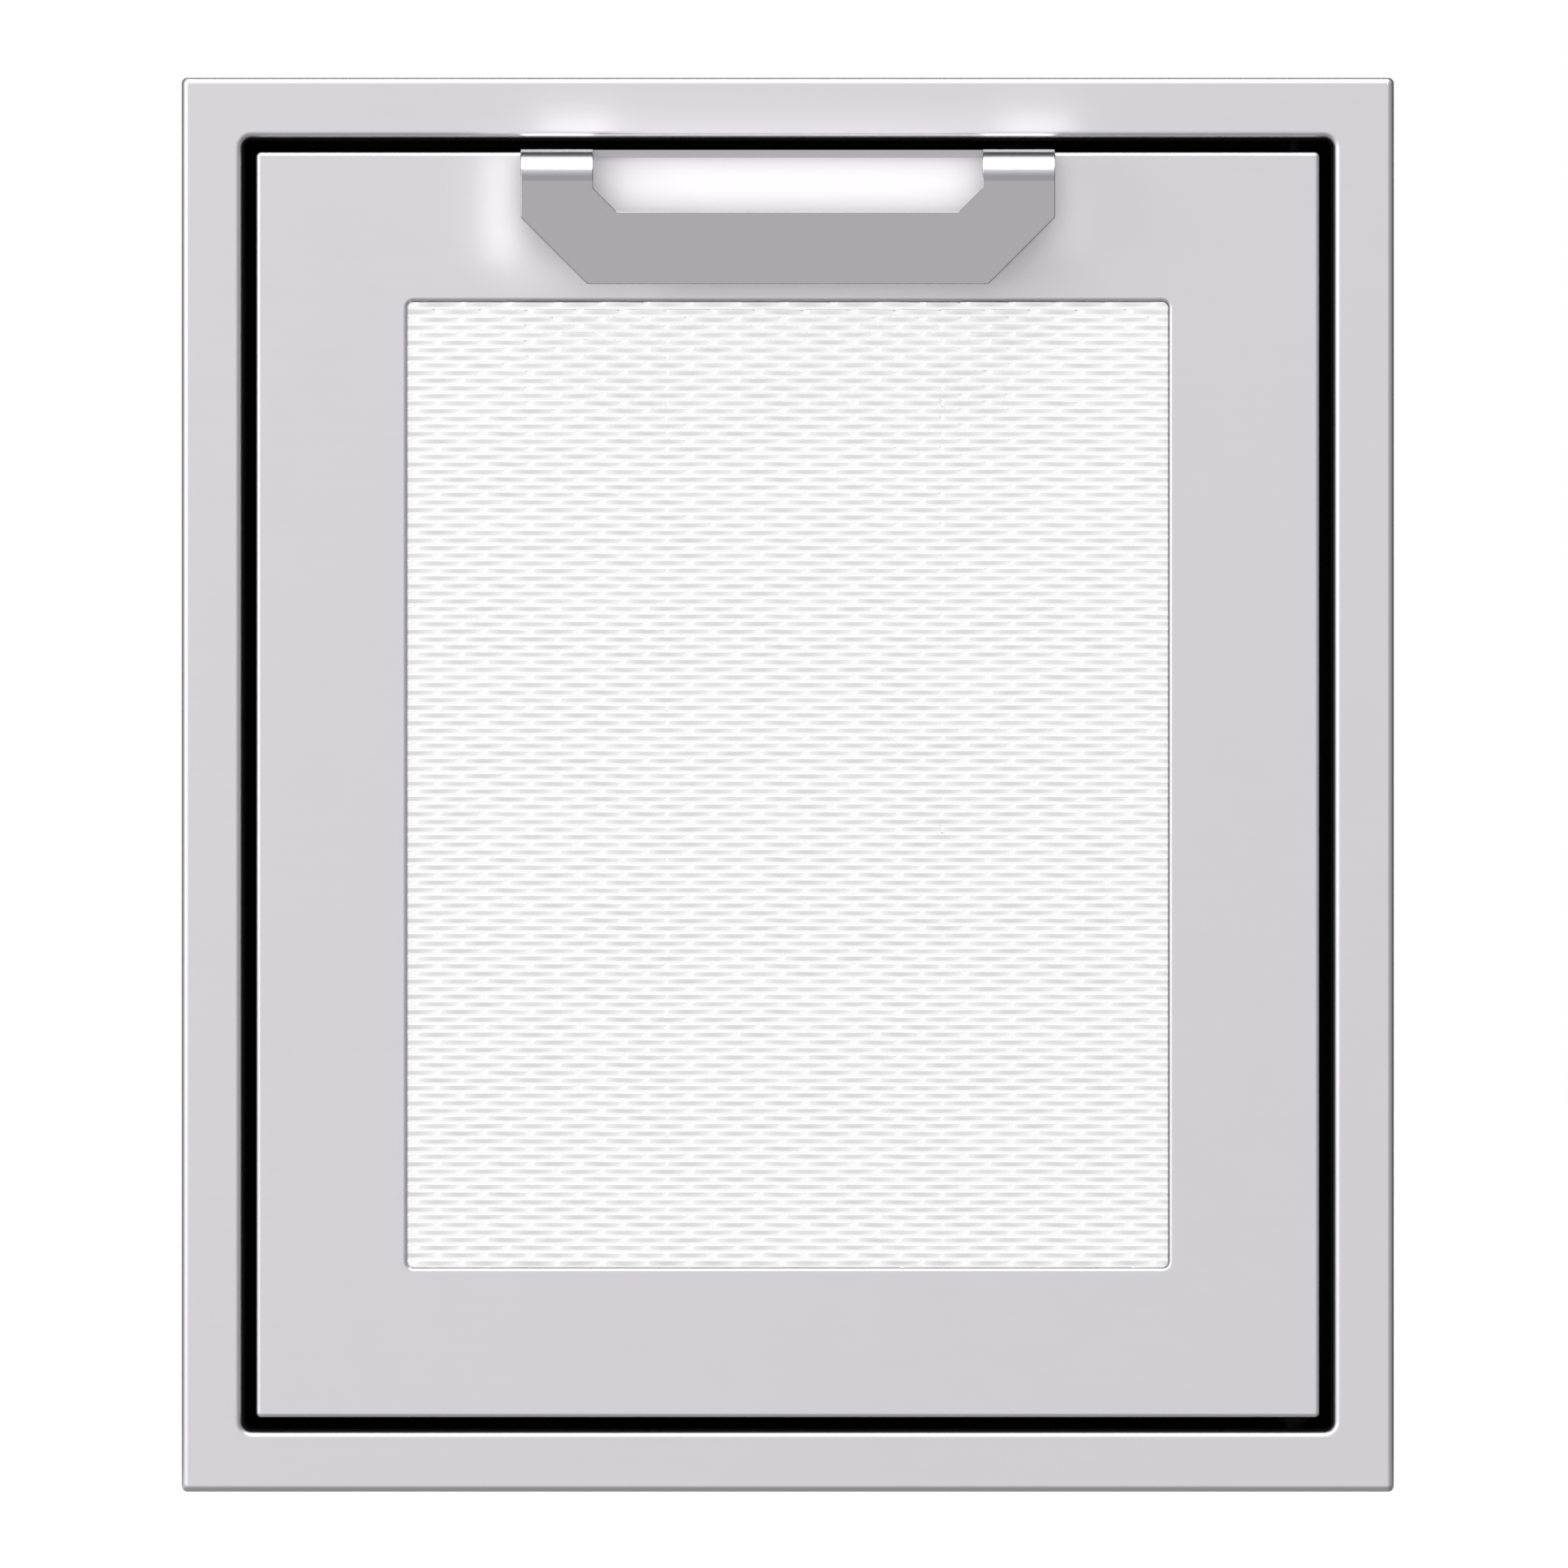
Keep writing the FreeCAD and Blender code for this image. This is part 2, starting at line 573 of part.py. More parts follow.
def make_trim_frame():
    """Folded picture frame: face, outer lip, return against the wall, and jamb."""
    body = new_body("trim_frame")
    outer_x = "(flange_width / 2)"
    outer_z = "(flange_height / 2)"
    face = rectangle(body, "FaceOutline", "XZ_Plane", "0", centred(outer_x), centred(outer_z))
    pad(body, "Face", face, "flange_depth")
    jamb = rectangle(body, "JambOutline", "XZ_Plane", "jamb_depth", centred(JAMB_X), centred(JAMB_Z))
    pad(body, "Jamb", jamb, "jamb_depth")
    opening = rectangle(body, "Opening", "XZ_Plane", "jamb_depth", centred(OPEN_X), centred(OPEN_Z))
    pocket(body, "OpeningCut", opening, "jamb_depth + flange_depth + cut_past")
    round_edges(body, "OpeningCorners", "opening_corner",
                lambda e: runs_along(e, "y") and inside_rectangle(e, OPEN_X, OPEN_Z))
    round_edges(body, "JambCorners", "opening_corner + frame_sheet", lambda e: corner_edge(e, JAMB_X))
    round_edges(body, "RimCorners", "frame_corner", lambda e: corner_edge(e, outer_x))
    round_edges(body, "Bends", "frame_bend", lambda e: flat_at(e, "y", FACE_Y))
    hollow = rectangle(body, "Hollow", "XZ_Plane", "-frame_sheet",
                       centred(f"({outer_x} - frame_sheet)"), centred(f"({outer_z} - frame_sheet)"))
    ring(hollow, JAMB_X, JAMB_Z)
    pocket(body, "HollowCut", hollow, "flange_depth - 2 * frame_sheet")
    mouth = rectangle(body, "Mouth", "XZ_Plane", "0",
                      centred(f"({outer_x} - flange_return)"), centred(f"({outer_z} - flange_return)"))
    ring(mouth, JAMB_X, JAMB_Z)
    pocket(body, "MouthCut", mouth, "frame_sheet")
    bore(body, "UpperPinHole", "z", (AXIS_X, AXIS_Y, OPEN_Z), "frame_sheet", UPPER_HOLE)
    bore(body, "LowerPinHole", "z", (AXIS_X, AXIS_Y, f"-{JAMB_Z}"), "frame_sheet", LOWER_HOLE)
    return body


def make_reveal_lining():
    """Black rubber lining that makes the gap round the door read as a shadow line."""
    body = new_body("reveal_lining")
    depth = "jamb_depth + flange_depth - trim_set_back"
    outer = rectangle(body, "Outer", "XZ_Plane", "jamb_depth", centred(OPEN_X), centred(OPEN_Z))
    pad(body, "Ring", outer, depth)
    inner = rectangle(body, "Inner", "XZ_Plane", "jamb_depth", centred(LINING_X), centred(LINING_Z))
    pocket(body, "InnerCut", inner, f"{depth} + cut_past")
    round_edges(body, "InnerCorners", "opening_corner - trim_rubber",
                lambda e: runs_along(e, "y") and inside_rectangle(e, LINING_X, LINING_Z))
    round_edges(body, "OuterCorners", "opening_corner", lambda e: corner_edge(e, OPEN_X))
    bore(body, "UpperPinHole", "z", (AXIS_X, AXIS_Y, LINING_Z), "trim_rubber",
         f"{UPPER_HOLE} + 2 * lining_hole_gap")
    bore(body, "LowerPinHole", "z", (AXIS_X, AXIS_Y, f"-{OPEN_Z}"), "trim_rubber",
         f"{LOWER_HOLE} + 2 * lining_hole_gap")
    return body


def make_side_liner(label, side):
    """Side wall of the sleeve, with a rear lip and the holes that hold it in the wall."""
    body = new_body(label)
    block(body, "Wall", span(side, JAMB_X, LINER_X), ("liner_start", "liner_depth"), centred(LINER_Z))
    block(body, "Lip", span(side, f"{JAMB_X} - liner_lip", LINER_X),
          ("liner_depth - liner_sheet", "liner_depth"), centred(JAMB_Z))
    start = span(side, JAMB_X, LINER_X)[0]
    for i in (-1, 1):
        bore(body, f"WallHole{i + 1}", "x", (start, WALL_HOLE_Y, f"{i} * {WALL_HOLE_Z}"),
             "liner_sheet", "wall_hole")
        hole(body, f"TabHole{i + 1}", "x", (start, WALL_HOLE_Y, at_side(i, CORNER_RIVET_Z)),
             "liner_sheet", "rivet_shank")
    for i in (-1, 0, 1):
        hole(body, f"StopHole{i + 1}", "x", (start, STOP_RIVET_Y, f"{i} * {SIDE_RIVET_Z}"),
             "liner_sheet", "rivet_shank")
    return body


def make_cross_liner(label, side):
    """Upper or lower wall of the sleeve, with corner tabs and a rear lip."""
    body = new_body(label)
    block(body, "Wall", centred(JAMB_X), ("liner_start", "liner_depth"), span(side, JAMB_Z, LINER_Z))
    block(body, "Lip", centred(f"({JAMB_X} - liner_lip)"),
          ("liner_depth - liner_sheet", "liner_depth"), span(side, f"{JAMB_Z} - liner_lip", LINER_Z))
    for hand in (-1, 1):
        block(body, f"Tab{hand + 1}", span(hand, f"{JAMB_X} - liner_sheet", JAMB_X),
              (f"{STOP_END} + stop_sheet", "liner_depth - liner_sheet"),
              span(side, f"{JAMB_Z} - liner_tab", JAMB_Z))
        start = span(hand, f"{JAMB_X} - liner_sheet", JAMB_X)[0]
        hole(body, f"TabHole{hand + 1}", "x",
             (start, WALL_HOLE_Y, at_side(side, CORNER_RIVET_Z)), "liner_sheet", "rivet_shank")
    start = span(side, JAMB_Z, LINER_Z)[0]
    for i in (-1, 0, 1):
        hole(body, f"StopHole{i + 1}", "z", (f"{i} * {CROSS_RIVET_X}", STOP_RIVET_Y, start),
             "liner_sheet", "rivet_shank")
    for i, across in enumerate(bracket_screw_places()):
        hole(body, f"BracketHole{i}", "z", (across, BRACKET_SCREW_Y, start), "liner_sheet",
             "bolt_shank")
    return body


def bracket_screw_places():
    """Where the two screws of a hinge bracket are, across the frame."""
    nearer = f"({AXIS_X} - bracket_screw_left)"
    return (nearer, f"({nearer} - bracket_screw_space)")


def make_side_stop(label, side):
    """Angle that the door's side closes against."""
    body = new_body(label)
    inside = f"{JAMB_X} - stop_sheet"
    edge = f"{JAMB_X} - stop_width"
    corner = [(edge, "jamb_depth"), (JAMB_X, "jamb_depth"), (JAMB_X, STOP_END), (inside, STOP_END),
              (inside, STOP_BACK), (edge, STOP_BACK)]
    points = [(at_side(side, across), depth) for across, depth in corner]
    section = outline(body, "Section", "XY_Plane", f"-{STOP_Z}", points)
    pad(body, "Angle", section, f"2 * {STOP_Z}")
    start = span(side, f"{JAMB_X} - stop_sheet", JAMB_X)[0]
    for i in (-1, 0, 1):
        hole(body, f"RivetHole{i + 1}", "x", (start, STOP_RIVET_Y, f"{i} * {SIDE_RIVET_Z}"),
             "stop_sheet", "rivet_shank")
    if side < 0:
        for i in (-1, 1):
            hole(body, f"CatchHole{i + 1}", "y",
                 (catch_screw_across(), "jamb_depth", f"{i} * catch_screw_space / 2"),
                 "stop_sheet", "catch_screw_shank")
    return body


def make_cross_stop(label, side):
    """Angle that the door's top or bottom closes against."""
    body = new_body(label)
    inside = f"{JAMB_Z} - stop_sheet"
    edge = f"{JAMB_Z} - stop_width"
    corner = [("jamb_depth", edge), ("jamb_depth", JAMB_Z), (STOP_END, JAMB_Z), (STOP_END, inside),
              (STOP_BACK, inside), (STOP_BACK, edge)]
    points = [(depth, at_side(side, up)) for depth, up in corner]
    section = outline(body, "Section", "YZ_Plane", f"-{JAMB_X}", points)
    pad(body, "Angle", section, f"2 * {JAMB_X}")
    start = span(side, f"{JAMB_Z} - stop_sheet", JAMB_Z)[0]
    for i in (-1, 0, 1):
        hole(body, f"RivetHole{i + 1}", "z", (f"{i} * {CROSS_RIVET_X}", STOP_RIVET_Y, start),
             "stop_sheet", "rivet_shank")
    return body


def make_side_seal(label, side):
    """Side seal on a stop angle: a bulb at the latch, a flat strip beside the pivots."""
    body = new_body(label)
    half = f"({LINING_Z} - seal_width)"
    block(body, "Base", span(side, f"{LINING_X} - seal_width", LINING_X), (SEAL_FRONT, "jamb_depth"),
          centred(half))
    if side < 0:
        start = (f"seal_inset - {DOOR_X}", BULB_Y, f"-{half}")
        rod(body, "Bulb", "z", start, f"2 * {half}", "seal_bulb")
        rod(body, "BulbBore", "z", start, f"2 * {half}", "seal_bulb - 2 * seal_wall", cut=True)
    return body


def make_cross_seal(label, side):
    """Upper or lower seal; its bulb ends clear of the door's pivot corner."""
    body = new_body(label)
    block(body, "Base", centred(LINING_X), (SEAL_FRONT, "jamb_depth"),
          span(side, f"{LINING_Z} - seal_width", LINING_Z))
    round_edges(body, "Corners", "opening_corner - trim_rubber",
                lambda e: runs_along(e, "y") and near(abs(e.BoundBox.ZMin), LINING_Z))
    start = (f"-{LINING_X}", BULB_Y, at_side(side, f"{DOOR_Z} - seal_inset"))
    length = f"{LINING_X} + {AXIS_X} - seal_clear"
    rod(body, "Bulb", "x", start, length, "seal_bulb")
    rod(body, "BulbBore", "x", start, length, "seal_bulb - 2 * seal_wall", cut=True)
    return body


def make_bracket(label, side):
    """Hinge bracket: a plate on the sleeve that carries a pivot beside the jamb."""
    body = new_body(label)
    block(body, "Plate", (f"{AXIS_X} - bracket_left", f"{OPEN_X} - bracket_edge"),
          ("-bracket_front", "liner_depth - bracket_end"),
          span(side, LINER_Z, f"{LINER_Z} + bracket_sheet"))
    round_edges(body, "Corners", "bracket_sheet", lambda e: runs_along(e, "z"))
    start = span(side, LINER_Z, f"{LINER_Z} + bracket_sheet")[0]
    pivot = "bush_barrel" if side > 0 else "pivot_diameter"
    hole(body, "PivotHole", "z", (AXIS_X, AXIS_Y, start), "bracket_sheet", pivot)
    for i, across in enumerate(bracket_screw_places()):
        hole(body, f"ScrewHole{i}", "z", (across, BRACKET_SCREW_Y, start), "bracket_sheet",
             "bolt_shank")
    return body


def make_upper_bush():
    """Flanged bush in the upper bracket, which the release pin turns in."""
    body = new_body("upper_bush")
    rod(body, "Flange", "z", (AXIS_X, AXIS_Y, JAMB_Z), "liner_sheet", "bush_flange")
    rod(body, "Barrel", "z", (AXIS_X, AXIS_Y, LINER_Z), "bracket_sheet + liner_sheet", "bush_barrel")
    bore(body, "Bore", "z", (AXIS_X, AXIS_Y, JAMB_Z), "bracket_sheet + 2 * liner_sheet",
         "pin_diameter + 2 * pin_play")
    return body


def make_lower_pivot_pin():
    """Fixed pin riveted into the lower bracket; its shoulder carries the door."""
    body = new_body("lower_pivot_pin")
    foot = f"-({LINER_Z} + bracket_sheet + pivot_foot_height)"
    shoulder_top = f"-({DOOR_Z} + lower_bush_flange + washer_thickness)"
    rod(body, "Foot", "z", (AXIS_X, AXIS_Y, foot), "pivot_foot_height", "pivot_foot")
    rod(body, "Pin", "z", (AXIS_X, AXIS_Y, foot), f"pivot_reach - {DOOR_Z} - ({foot})", "pivot_diameter")
    rod(body, "Shoulder", "z", (AXIS_X, AXIS_Y, f"-{LINER_Z}"), f"{shoulder_top} + {LINER_Z}",
        "pivot_shoulder")
    cut_corners(body, "Tip", "pivot_chamfer", lambda e: flat_at(e, "z", f"pivot_reach - {DOOR_Z}"))
    return body


def make_thrust_washer():
    """Plastic washer between the pin's shoulder and the door's bush."""
    body = new_body("thrust_washer")
    start = f"-({DOOR_Z} + lower_bush_flange + washer_thickness)"
    rod(body, "Disc", "z", (AXIS_X, AXIS_Y, start), "washer_thickness", "washer_diameter")
    bore(body, "Bore", "z", (AXIS_X, AXIS_Y, start), "washer_thickness",
         "pivot_diameter + 2 * pin_play")
    return body


def catch_screw_across():
    """Where the catch's screws are, across the frame."""
    return f"({CATCH_X} - catch_width / 2 - catch_screw_inset)"


def make_catch_housing():
    """Plastic housing of the magnetic catch, with a flange behind the stop angle."""
    body = new_body("catch_housing")
    half = "(catch_width / 2)"
    block(body, "Housing", (f"{CATCH_X} - {half}", f"{CATCH_X} + {half}"),
          (CATCH_FRONT, f"{CATCH_FRONT} + catch_depth"), centred("(catch_height / 2)"))
    block(body, "Flange", (f"{CATCH_X} - {half} - catch_ear", f"{CATCH_X} + {half}"),
          (STOP_BACK, f"{STOP_BACK} + catch_flange"), centred("(catch_height / 2)"))
    round_edges(body, "FlangeCorners", "catch_flange",
                lambda e: runs_along(e, "y") and near(e.BoundBox.XMin, f"{CATCH_X} - {half} - catch_ear"))
    slot = "(magnet_width / 2 + pole_sheet)"
    block(body, "Slot", (f"{CATCH_X} - {slot}", f"{CATCH_X} + {slot}"),
          (f"{CATCH_FRONT} - cut_past", f"{CATCH_FRONT} + magnet_depth"),
          centred("(magnet_height / 2)"), cut=True)
    for i in (-1, 1):
        hole(body, f"ScrewHole{i + 1}", "y",
             (catch_screw_across(), STOP_BACK, f"{i} * catch_screw_space / 2"), "catch_flange",
             "catch_screw_shank")
    return body


def make_magnet():
    """Block magnet between the pole plates."""
    body = new_body("catch_magnet")
    half = "(magnet_width / 2)"
    block(body, "Magnet", (f"{CATCH_X} - {half}", f"{CATCH_X} + {half}"),
          (CATCH_FRONT, f"{CATCH_FRONT} + magnet_depth"), centred("(magnet_height / 2)"))
    return body


def make_pole_plates():
    """Two steel plates that lead the magnet's pull to the strike plate."""
    body = new_body("pole_plates")
    half = "magnet_width / 2"
    for name, low, high in (("Left", f"{CATCH_X} - {half} - pole_sheet", f"{CATCH_X} - {half}"),
                            ("Right", f"{CATCH_X} + {half}", f"{CATCH_X} + {half} + pole_sheet")):
        block(body, name, (low, high), (f"{CATCH_FRONT} - pole_proud", f"{CATCH_FRONT} + magnet_depth"),
              centred("(magnet_height / 2)"))
    return body


# Door: what turns on the two pivots.


def rim_rivet_places():
    """The flush rivets round the door's rim: start of the hole, axis, and the head's turn."""
    found = []
    for i in (-1, 0, 1):
        for side in (-1, 1):
            turn = HEAD_RIGHT if side > 0 else HEAD_LEFT
            found.append(("x", (at_side(side, DOOR_X), RIM_RIVET_Y, f"{i} * {RIM_RIVET_Z}"), turn))
            turn = HEAD_UP if side > 0 else HEAD_DOWN
            found.append(("z", (f"{i} * {RIM_RIVET_X}", RIM_RIVET_Y, at_side(side, DOOR_Z)), turn))
    return found


def rim_hole(body, name, axis, place_of_head, countersunk):
    """A rivet hole through the door's rim, from its outer face inwards."""
    across, depth, up = place_of_head
    rim = "(door_sheet + pan_gap + pan_sheet)"
    sink = "flush_head_height"
    outward = number(across if axis == "x" else up) > 0
    if axis == "x":
        start = (f"{across} - {rim}" if outward else across, depth, up)
        mouth = (f"{across} - {sink}" if outward else across, depth, up)
    else:
        start = (across, depth, f"{up} - {rim}" if outward else up)
        mouth = (across, depth, f"{up} - {sink}" if outward else up)
    hole(body, name, axis, start, rim, "rivet_shank")
    if countersunk:
        small = "rivet_shank + hole_gap"
        large = "flush_head + hole_gap"
        first, last = (small, large) if outward else (large, small)
        cone(body, f"{name}Sink", axis, mouth, sink, first, last, cut=True)


def make_door_skin():
    """Outer pan of the door: face, four walls, and the window's curled edge."""
    body = new_body("door_skin")
    outer = rectangle(body, "Outer", "XZ_Plane", BACK_Y, centred(DOOR_X), centred(DOOR_Z))
    pad(body, "Pan", outer, "door_depth")
    round_edges(body, "Corners", "door_corner", lambda e: corner_edge(e, DOOR_X))
    round_edges(body, "Bends", "door_bend", lambda e: flat_at(e, "y", FACE_Y))
    inner = rectangle(body, "Inner", "XZ_Plane", BACK_Y, centred(INNER_X), centred(INNER_Z))
    pocket(body, "Hollow", inner, "door_depth - door_sheet")
    rim = rectangle(body, "WindowRim", "XZ_Plane", f"{FACE_Y} + window_recess",
                    centred(f"({WINDOW_X} + door_sheet)"), centred(f"({WINDOW_Z} + door_sheet)"))
    pad(body, "WindowWall", rim, "window_recess - door_sheet / 2")
    window = rectangle(body, "Window", "XZ_Plane", BACK_Y, centred(WINDOW_X), centred(WINDOW_Z))
    pocket(body, "WindowCut", window, "door_depth + cut_past")
    round_edges(body, "WindowCorners", "window_corner",
                lambda e: runs_along(e, "y") and inside_rectangle(e, WINDOW_X, WINDOW_Z))
    round_edges(body, "WindowCurl", "window_curl",
                lambda e: flat_at(e, "y", FACE_Y) and inside_rectangle(e, WINDOW_X, WINDOW_Z))
    block(body, "TongueNotch", centred("(handle_width / 2 + tongue_gap)"),
          (f"{FACE_Y} - cut_past", f"{TONGUE_BACK} + tongue_gap"),
          (TONGUE_Z, f"{DOOR_Z} + cut_past"), cut=True)
    bore(body, "PinHole", "z", (AXIS_X, AXIS_Y, INNER_Z), "door_sheet",
         "pin_diameter + 2 * door_hole_gap")
    hole(body, "BushHole", "z", (AXIS_X, AXIS_Y, f"-{DOOR_Z}"), "door_sheet", "lower_bush_barrel")
    for i, (axis, start, _) in enumerate(rim_rivet_places()):
        rim_hole(body, f"RivetHole{i}", axis, start, countersunk=True)
    return body


def make_textured_sheet():
    """Embossed sheet behind the window. Its dimples are a finish, not a shape."""
    body = new_body("textured_sheet")
    block(body, "Sheet", centred(f"({WINDOW_X} + insert_lap)"),
          (f"{FACE_Y} + window_recess", INSERT_BACK), centred(f"({WINDOW_Z} + insert_lap)"))
    return body


def stud_places(side, upright):
    """Where the studs of one clamp strip are, across and up."""
    if upright:
        across = at_side(side, f"{WINDOW_X} + stud_inset")
        return [(across, f"{i} * ({WINDOW_Z} - stud_end_side)") for i in (-1, 1)]
    up = at_side(side, f"{WINDOW_Z} + stud_inset")
    return [(f"{i} * ({WINDOW_X} - stud_end_cross)", up) for i in (-1, 0, 1)]


def make_clamp(label, side, upright):
    """Strip that presses the textured sheet against the window's curled edge."""
    body = new_body(label)
    near_x = f"{WINDOW_X} + clamp_inset"
    near_z = f"{WINDOW_Z} + clamp_inset"
    if upright:
        across = span(side, near_x, f"{near_x} + clamp_width")
        up = centred(f"({near_z})")
    else:
        across = centred(f"({near_x} + clamp_width)")
        up = span(side, near_z, f"{near_z} + clamp_width")
    block(body, "Strip", across, (INSERT_BACK, CLAMP_BACK), up)
    for i, (at_x, at_z) in enumerate(stud_places(side, upright)):
        hole(body, f"StudHole{i}", "y", (at_x, INSERT_BACK, at_z), "clamp_sheet", "stud_diameter")
    return body


def make_stud():
    """Weld stud: its head end is welded to the back of the door's face."""
    body = new_body("stud_pattern")
    rod(body, "Stud", "z", ("0", "0", "0"), "stud_length", "stud_diameter")
    cut_corners(body, "Tip", "stud_chamfer", lambda e: flat_at(e, "z", "stud_length"))
    return body


def make_back_pan():
    """Shallow inner pan that closes the door, with a slot for the thumb tab."""
    body = new_body("door_back_pan")
    half_x = f"({INNER_X} - pan_gap)"
    half_z = f"({INNER_Z} - pan_gap)"
    rim_front = f"({BACK_Y} - pan_wall)"
    outer = rectangle(body, "Outer", "XZ_Plane", BACK_Y, centred(half_x), centred(half_z))
    pad(body, "Pan", outer, "pan_wall")
    inner = rectangle(body, "Inner", "XZ_Plane", PAN_FRONT,
                      centred(f"({half_x} - pan_sheet)"), centred(f"({half_z} - pan_sheet)"))
    pocket(body, "Hollow", inner, "pan_wall")
    for side in (-1, 1):
        block(body, f"PivotNotch{side + 1}",
              (f"{AXIS_X} - block_left - pan_gap", f"{AXIS_X} + block_right + pan_gap"),
              (f"{rim_front} - cut_past", PAN_FRONT),
              span(side, f"{half_z} - pan_sheet - cut_past", f"{half_z} + cut_past"), cut=True)
    block(body, "TabSlot", (f"{AXIS_X} - tab_width / 2 - tab_gap", f"{AXIS_X} + tab_width / 2 + tab_gap"),
          (f"{PAN_FRONT} - cut_past", f"{BACK_Y} + cut_past"),
          (f"{COLLAR_Z} - pin_travel - tab_gap", f"{COLLAR_Z} + collar_height + tab_gap"), cut=True)
    for i, up in enumerate(block_screw_heights()):
        screw_hole(body, f"BlockScrew{i}", (BLOCK_SCREW_X, BACK_Y, up))
    for i in (-1, 1):
        hole(body, f"StrikeHole{i + 1}", "y", (CATCH_X, PAN_FRONT, f"{i} * strike_rivet_space / 2"),
             "pan_sheet", "rivet_shank")
    for i, (axis, start, _) in enumerate(rim_rivet_places()):
        rim_hole(body, f"RivetHole{i}", axis, start, countersunk=False)
    return body


def block_screw_heights():
    """Heights of the countersunk screws that hold the pivot blocks."""
    lug = "lug_height / 2"
    return (f"({INNER_Z} - {lug})", f"({INNER_Z} - upper_block_height + {lug})",
            f"({lug} - {INNER_Z})", f"(lower_block_height - {lug} - {INNER_Z})")


def screw_hole(body, name, head):
    """A countersunk screw hole from the door's back face forwards."""
    across, depth, up = head
    rod(body, name, "y", (across, f"{depth} - screw_length - screw_spare", up),
        "screw_length + screw_spare + cut_past", "screw_shank + hole_gap", cut=True)
    cone(body, f"{name}Sink", "y", (across, f"{depth} - screw_head_height", up), "screw_head_height",
         "screw_shank + hole_gap", "screw_head + hole_gap", cut=True)


def make_pivot_block(label, side, height):
    """Block in the door's hinge corner, behind the skin and screwed to the back pan."""
    body = new_body(label)
    block(body, "Block", (f"{AXIS_X} - block_left", f"{AXIS_X} + block_right"),
          (INNER_FRONT, PAN_FRONT), span(side, f"{INNER_Z} - {height}", INNER_Z))
    return body


def make_upper_block():
    """Upper pivot block: two lugs that guide the release pin, and a window for its spring."""
    body = make_pivot_block("upper_pivot_block", 1, "upper_block_height")
    block(body, "SpringWindow",
          (f"{AXIS_X} - spring_diameter / 2 - 2 * spring_wire", f"{AXIS_X} + block_right + cut_past"),
          (f"{INNER_FRONT} + block_web", f"{PAN_FRONT} + cut_past"),
          (f"{INNER_Z} - upper_block_height + lug_height", f"{INNER_Z} - lug_height"), cut=True)
    bore(body, "PinBore", "z", (AXIS_X, AXIS_Y, f"{INNER_Z} - upper_block_height"),
         "upper_block_height", "pin_diameter + 2 * pin_play")
    for i, up in enumerate(block_screw_heights()[:2]):
        screw_hole(body, f"Screw{i}", (BLOCK_SCREW_X, BACK_Y, up))
    return body


def make_lower_block():
    """Lower pivot block, bored for the bush that stands on the fixed pin."""
    body = make_pivot_block("lower_pivot_block", -1, "lower_block_height")
    rod(body, "BushBore", "z", (AXIS_X, AXIS_Y, f"-{INNER_Z} - cut_past"),
        "lower_bush_length - door_sheet + cut_past", "lower_bush_barrel + hole_gap", cut=True)
    bore(body, "PinBore", "z", (AXIS_X, AXIS_Y, f"-{INNER_Z}"), "lower_block_height",
         "pivot_diameter + door_hole_gap")
    for i, up in enumerate(block_screw_heights()[2:]):
        screw_hole(body, f"Screw{i}", (BLOCK_SCREW_X, BACK_Y, up))
    return body


def make_lower_bush():
    """Flanged bush in the door's lower corner."""
    body = new_body("lower_bush")
    flange = f"-({DOOR_Z} + lower_bush_flange)"
    rod(body, "Flange", "z", (AXIS_X, AXIS_Y, flange), "lower_bush_flange", "bush_flange")
    rod(body, "Barrel", "z", (AXIS_X, AXIS_Y, flange), "lower_bush_flange + lower_bush_length",
        "lower_bush_barrel")
    bore(body, "Bore", "z", (AXIS_X, AXIS_Y, flange), "lower_bush_flange + lower_bush_length",
         "pivot_diameter + 2 * pin_play")
    return body


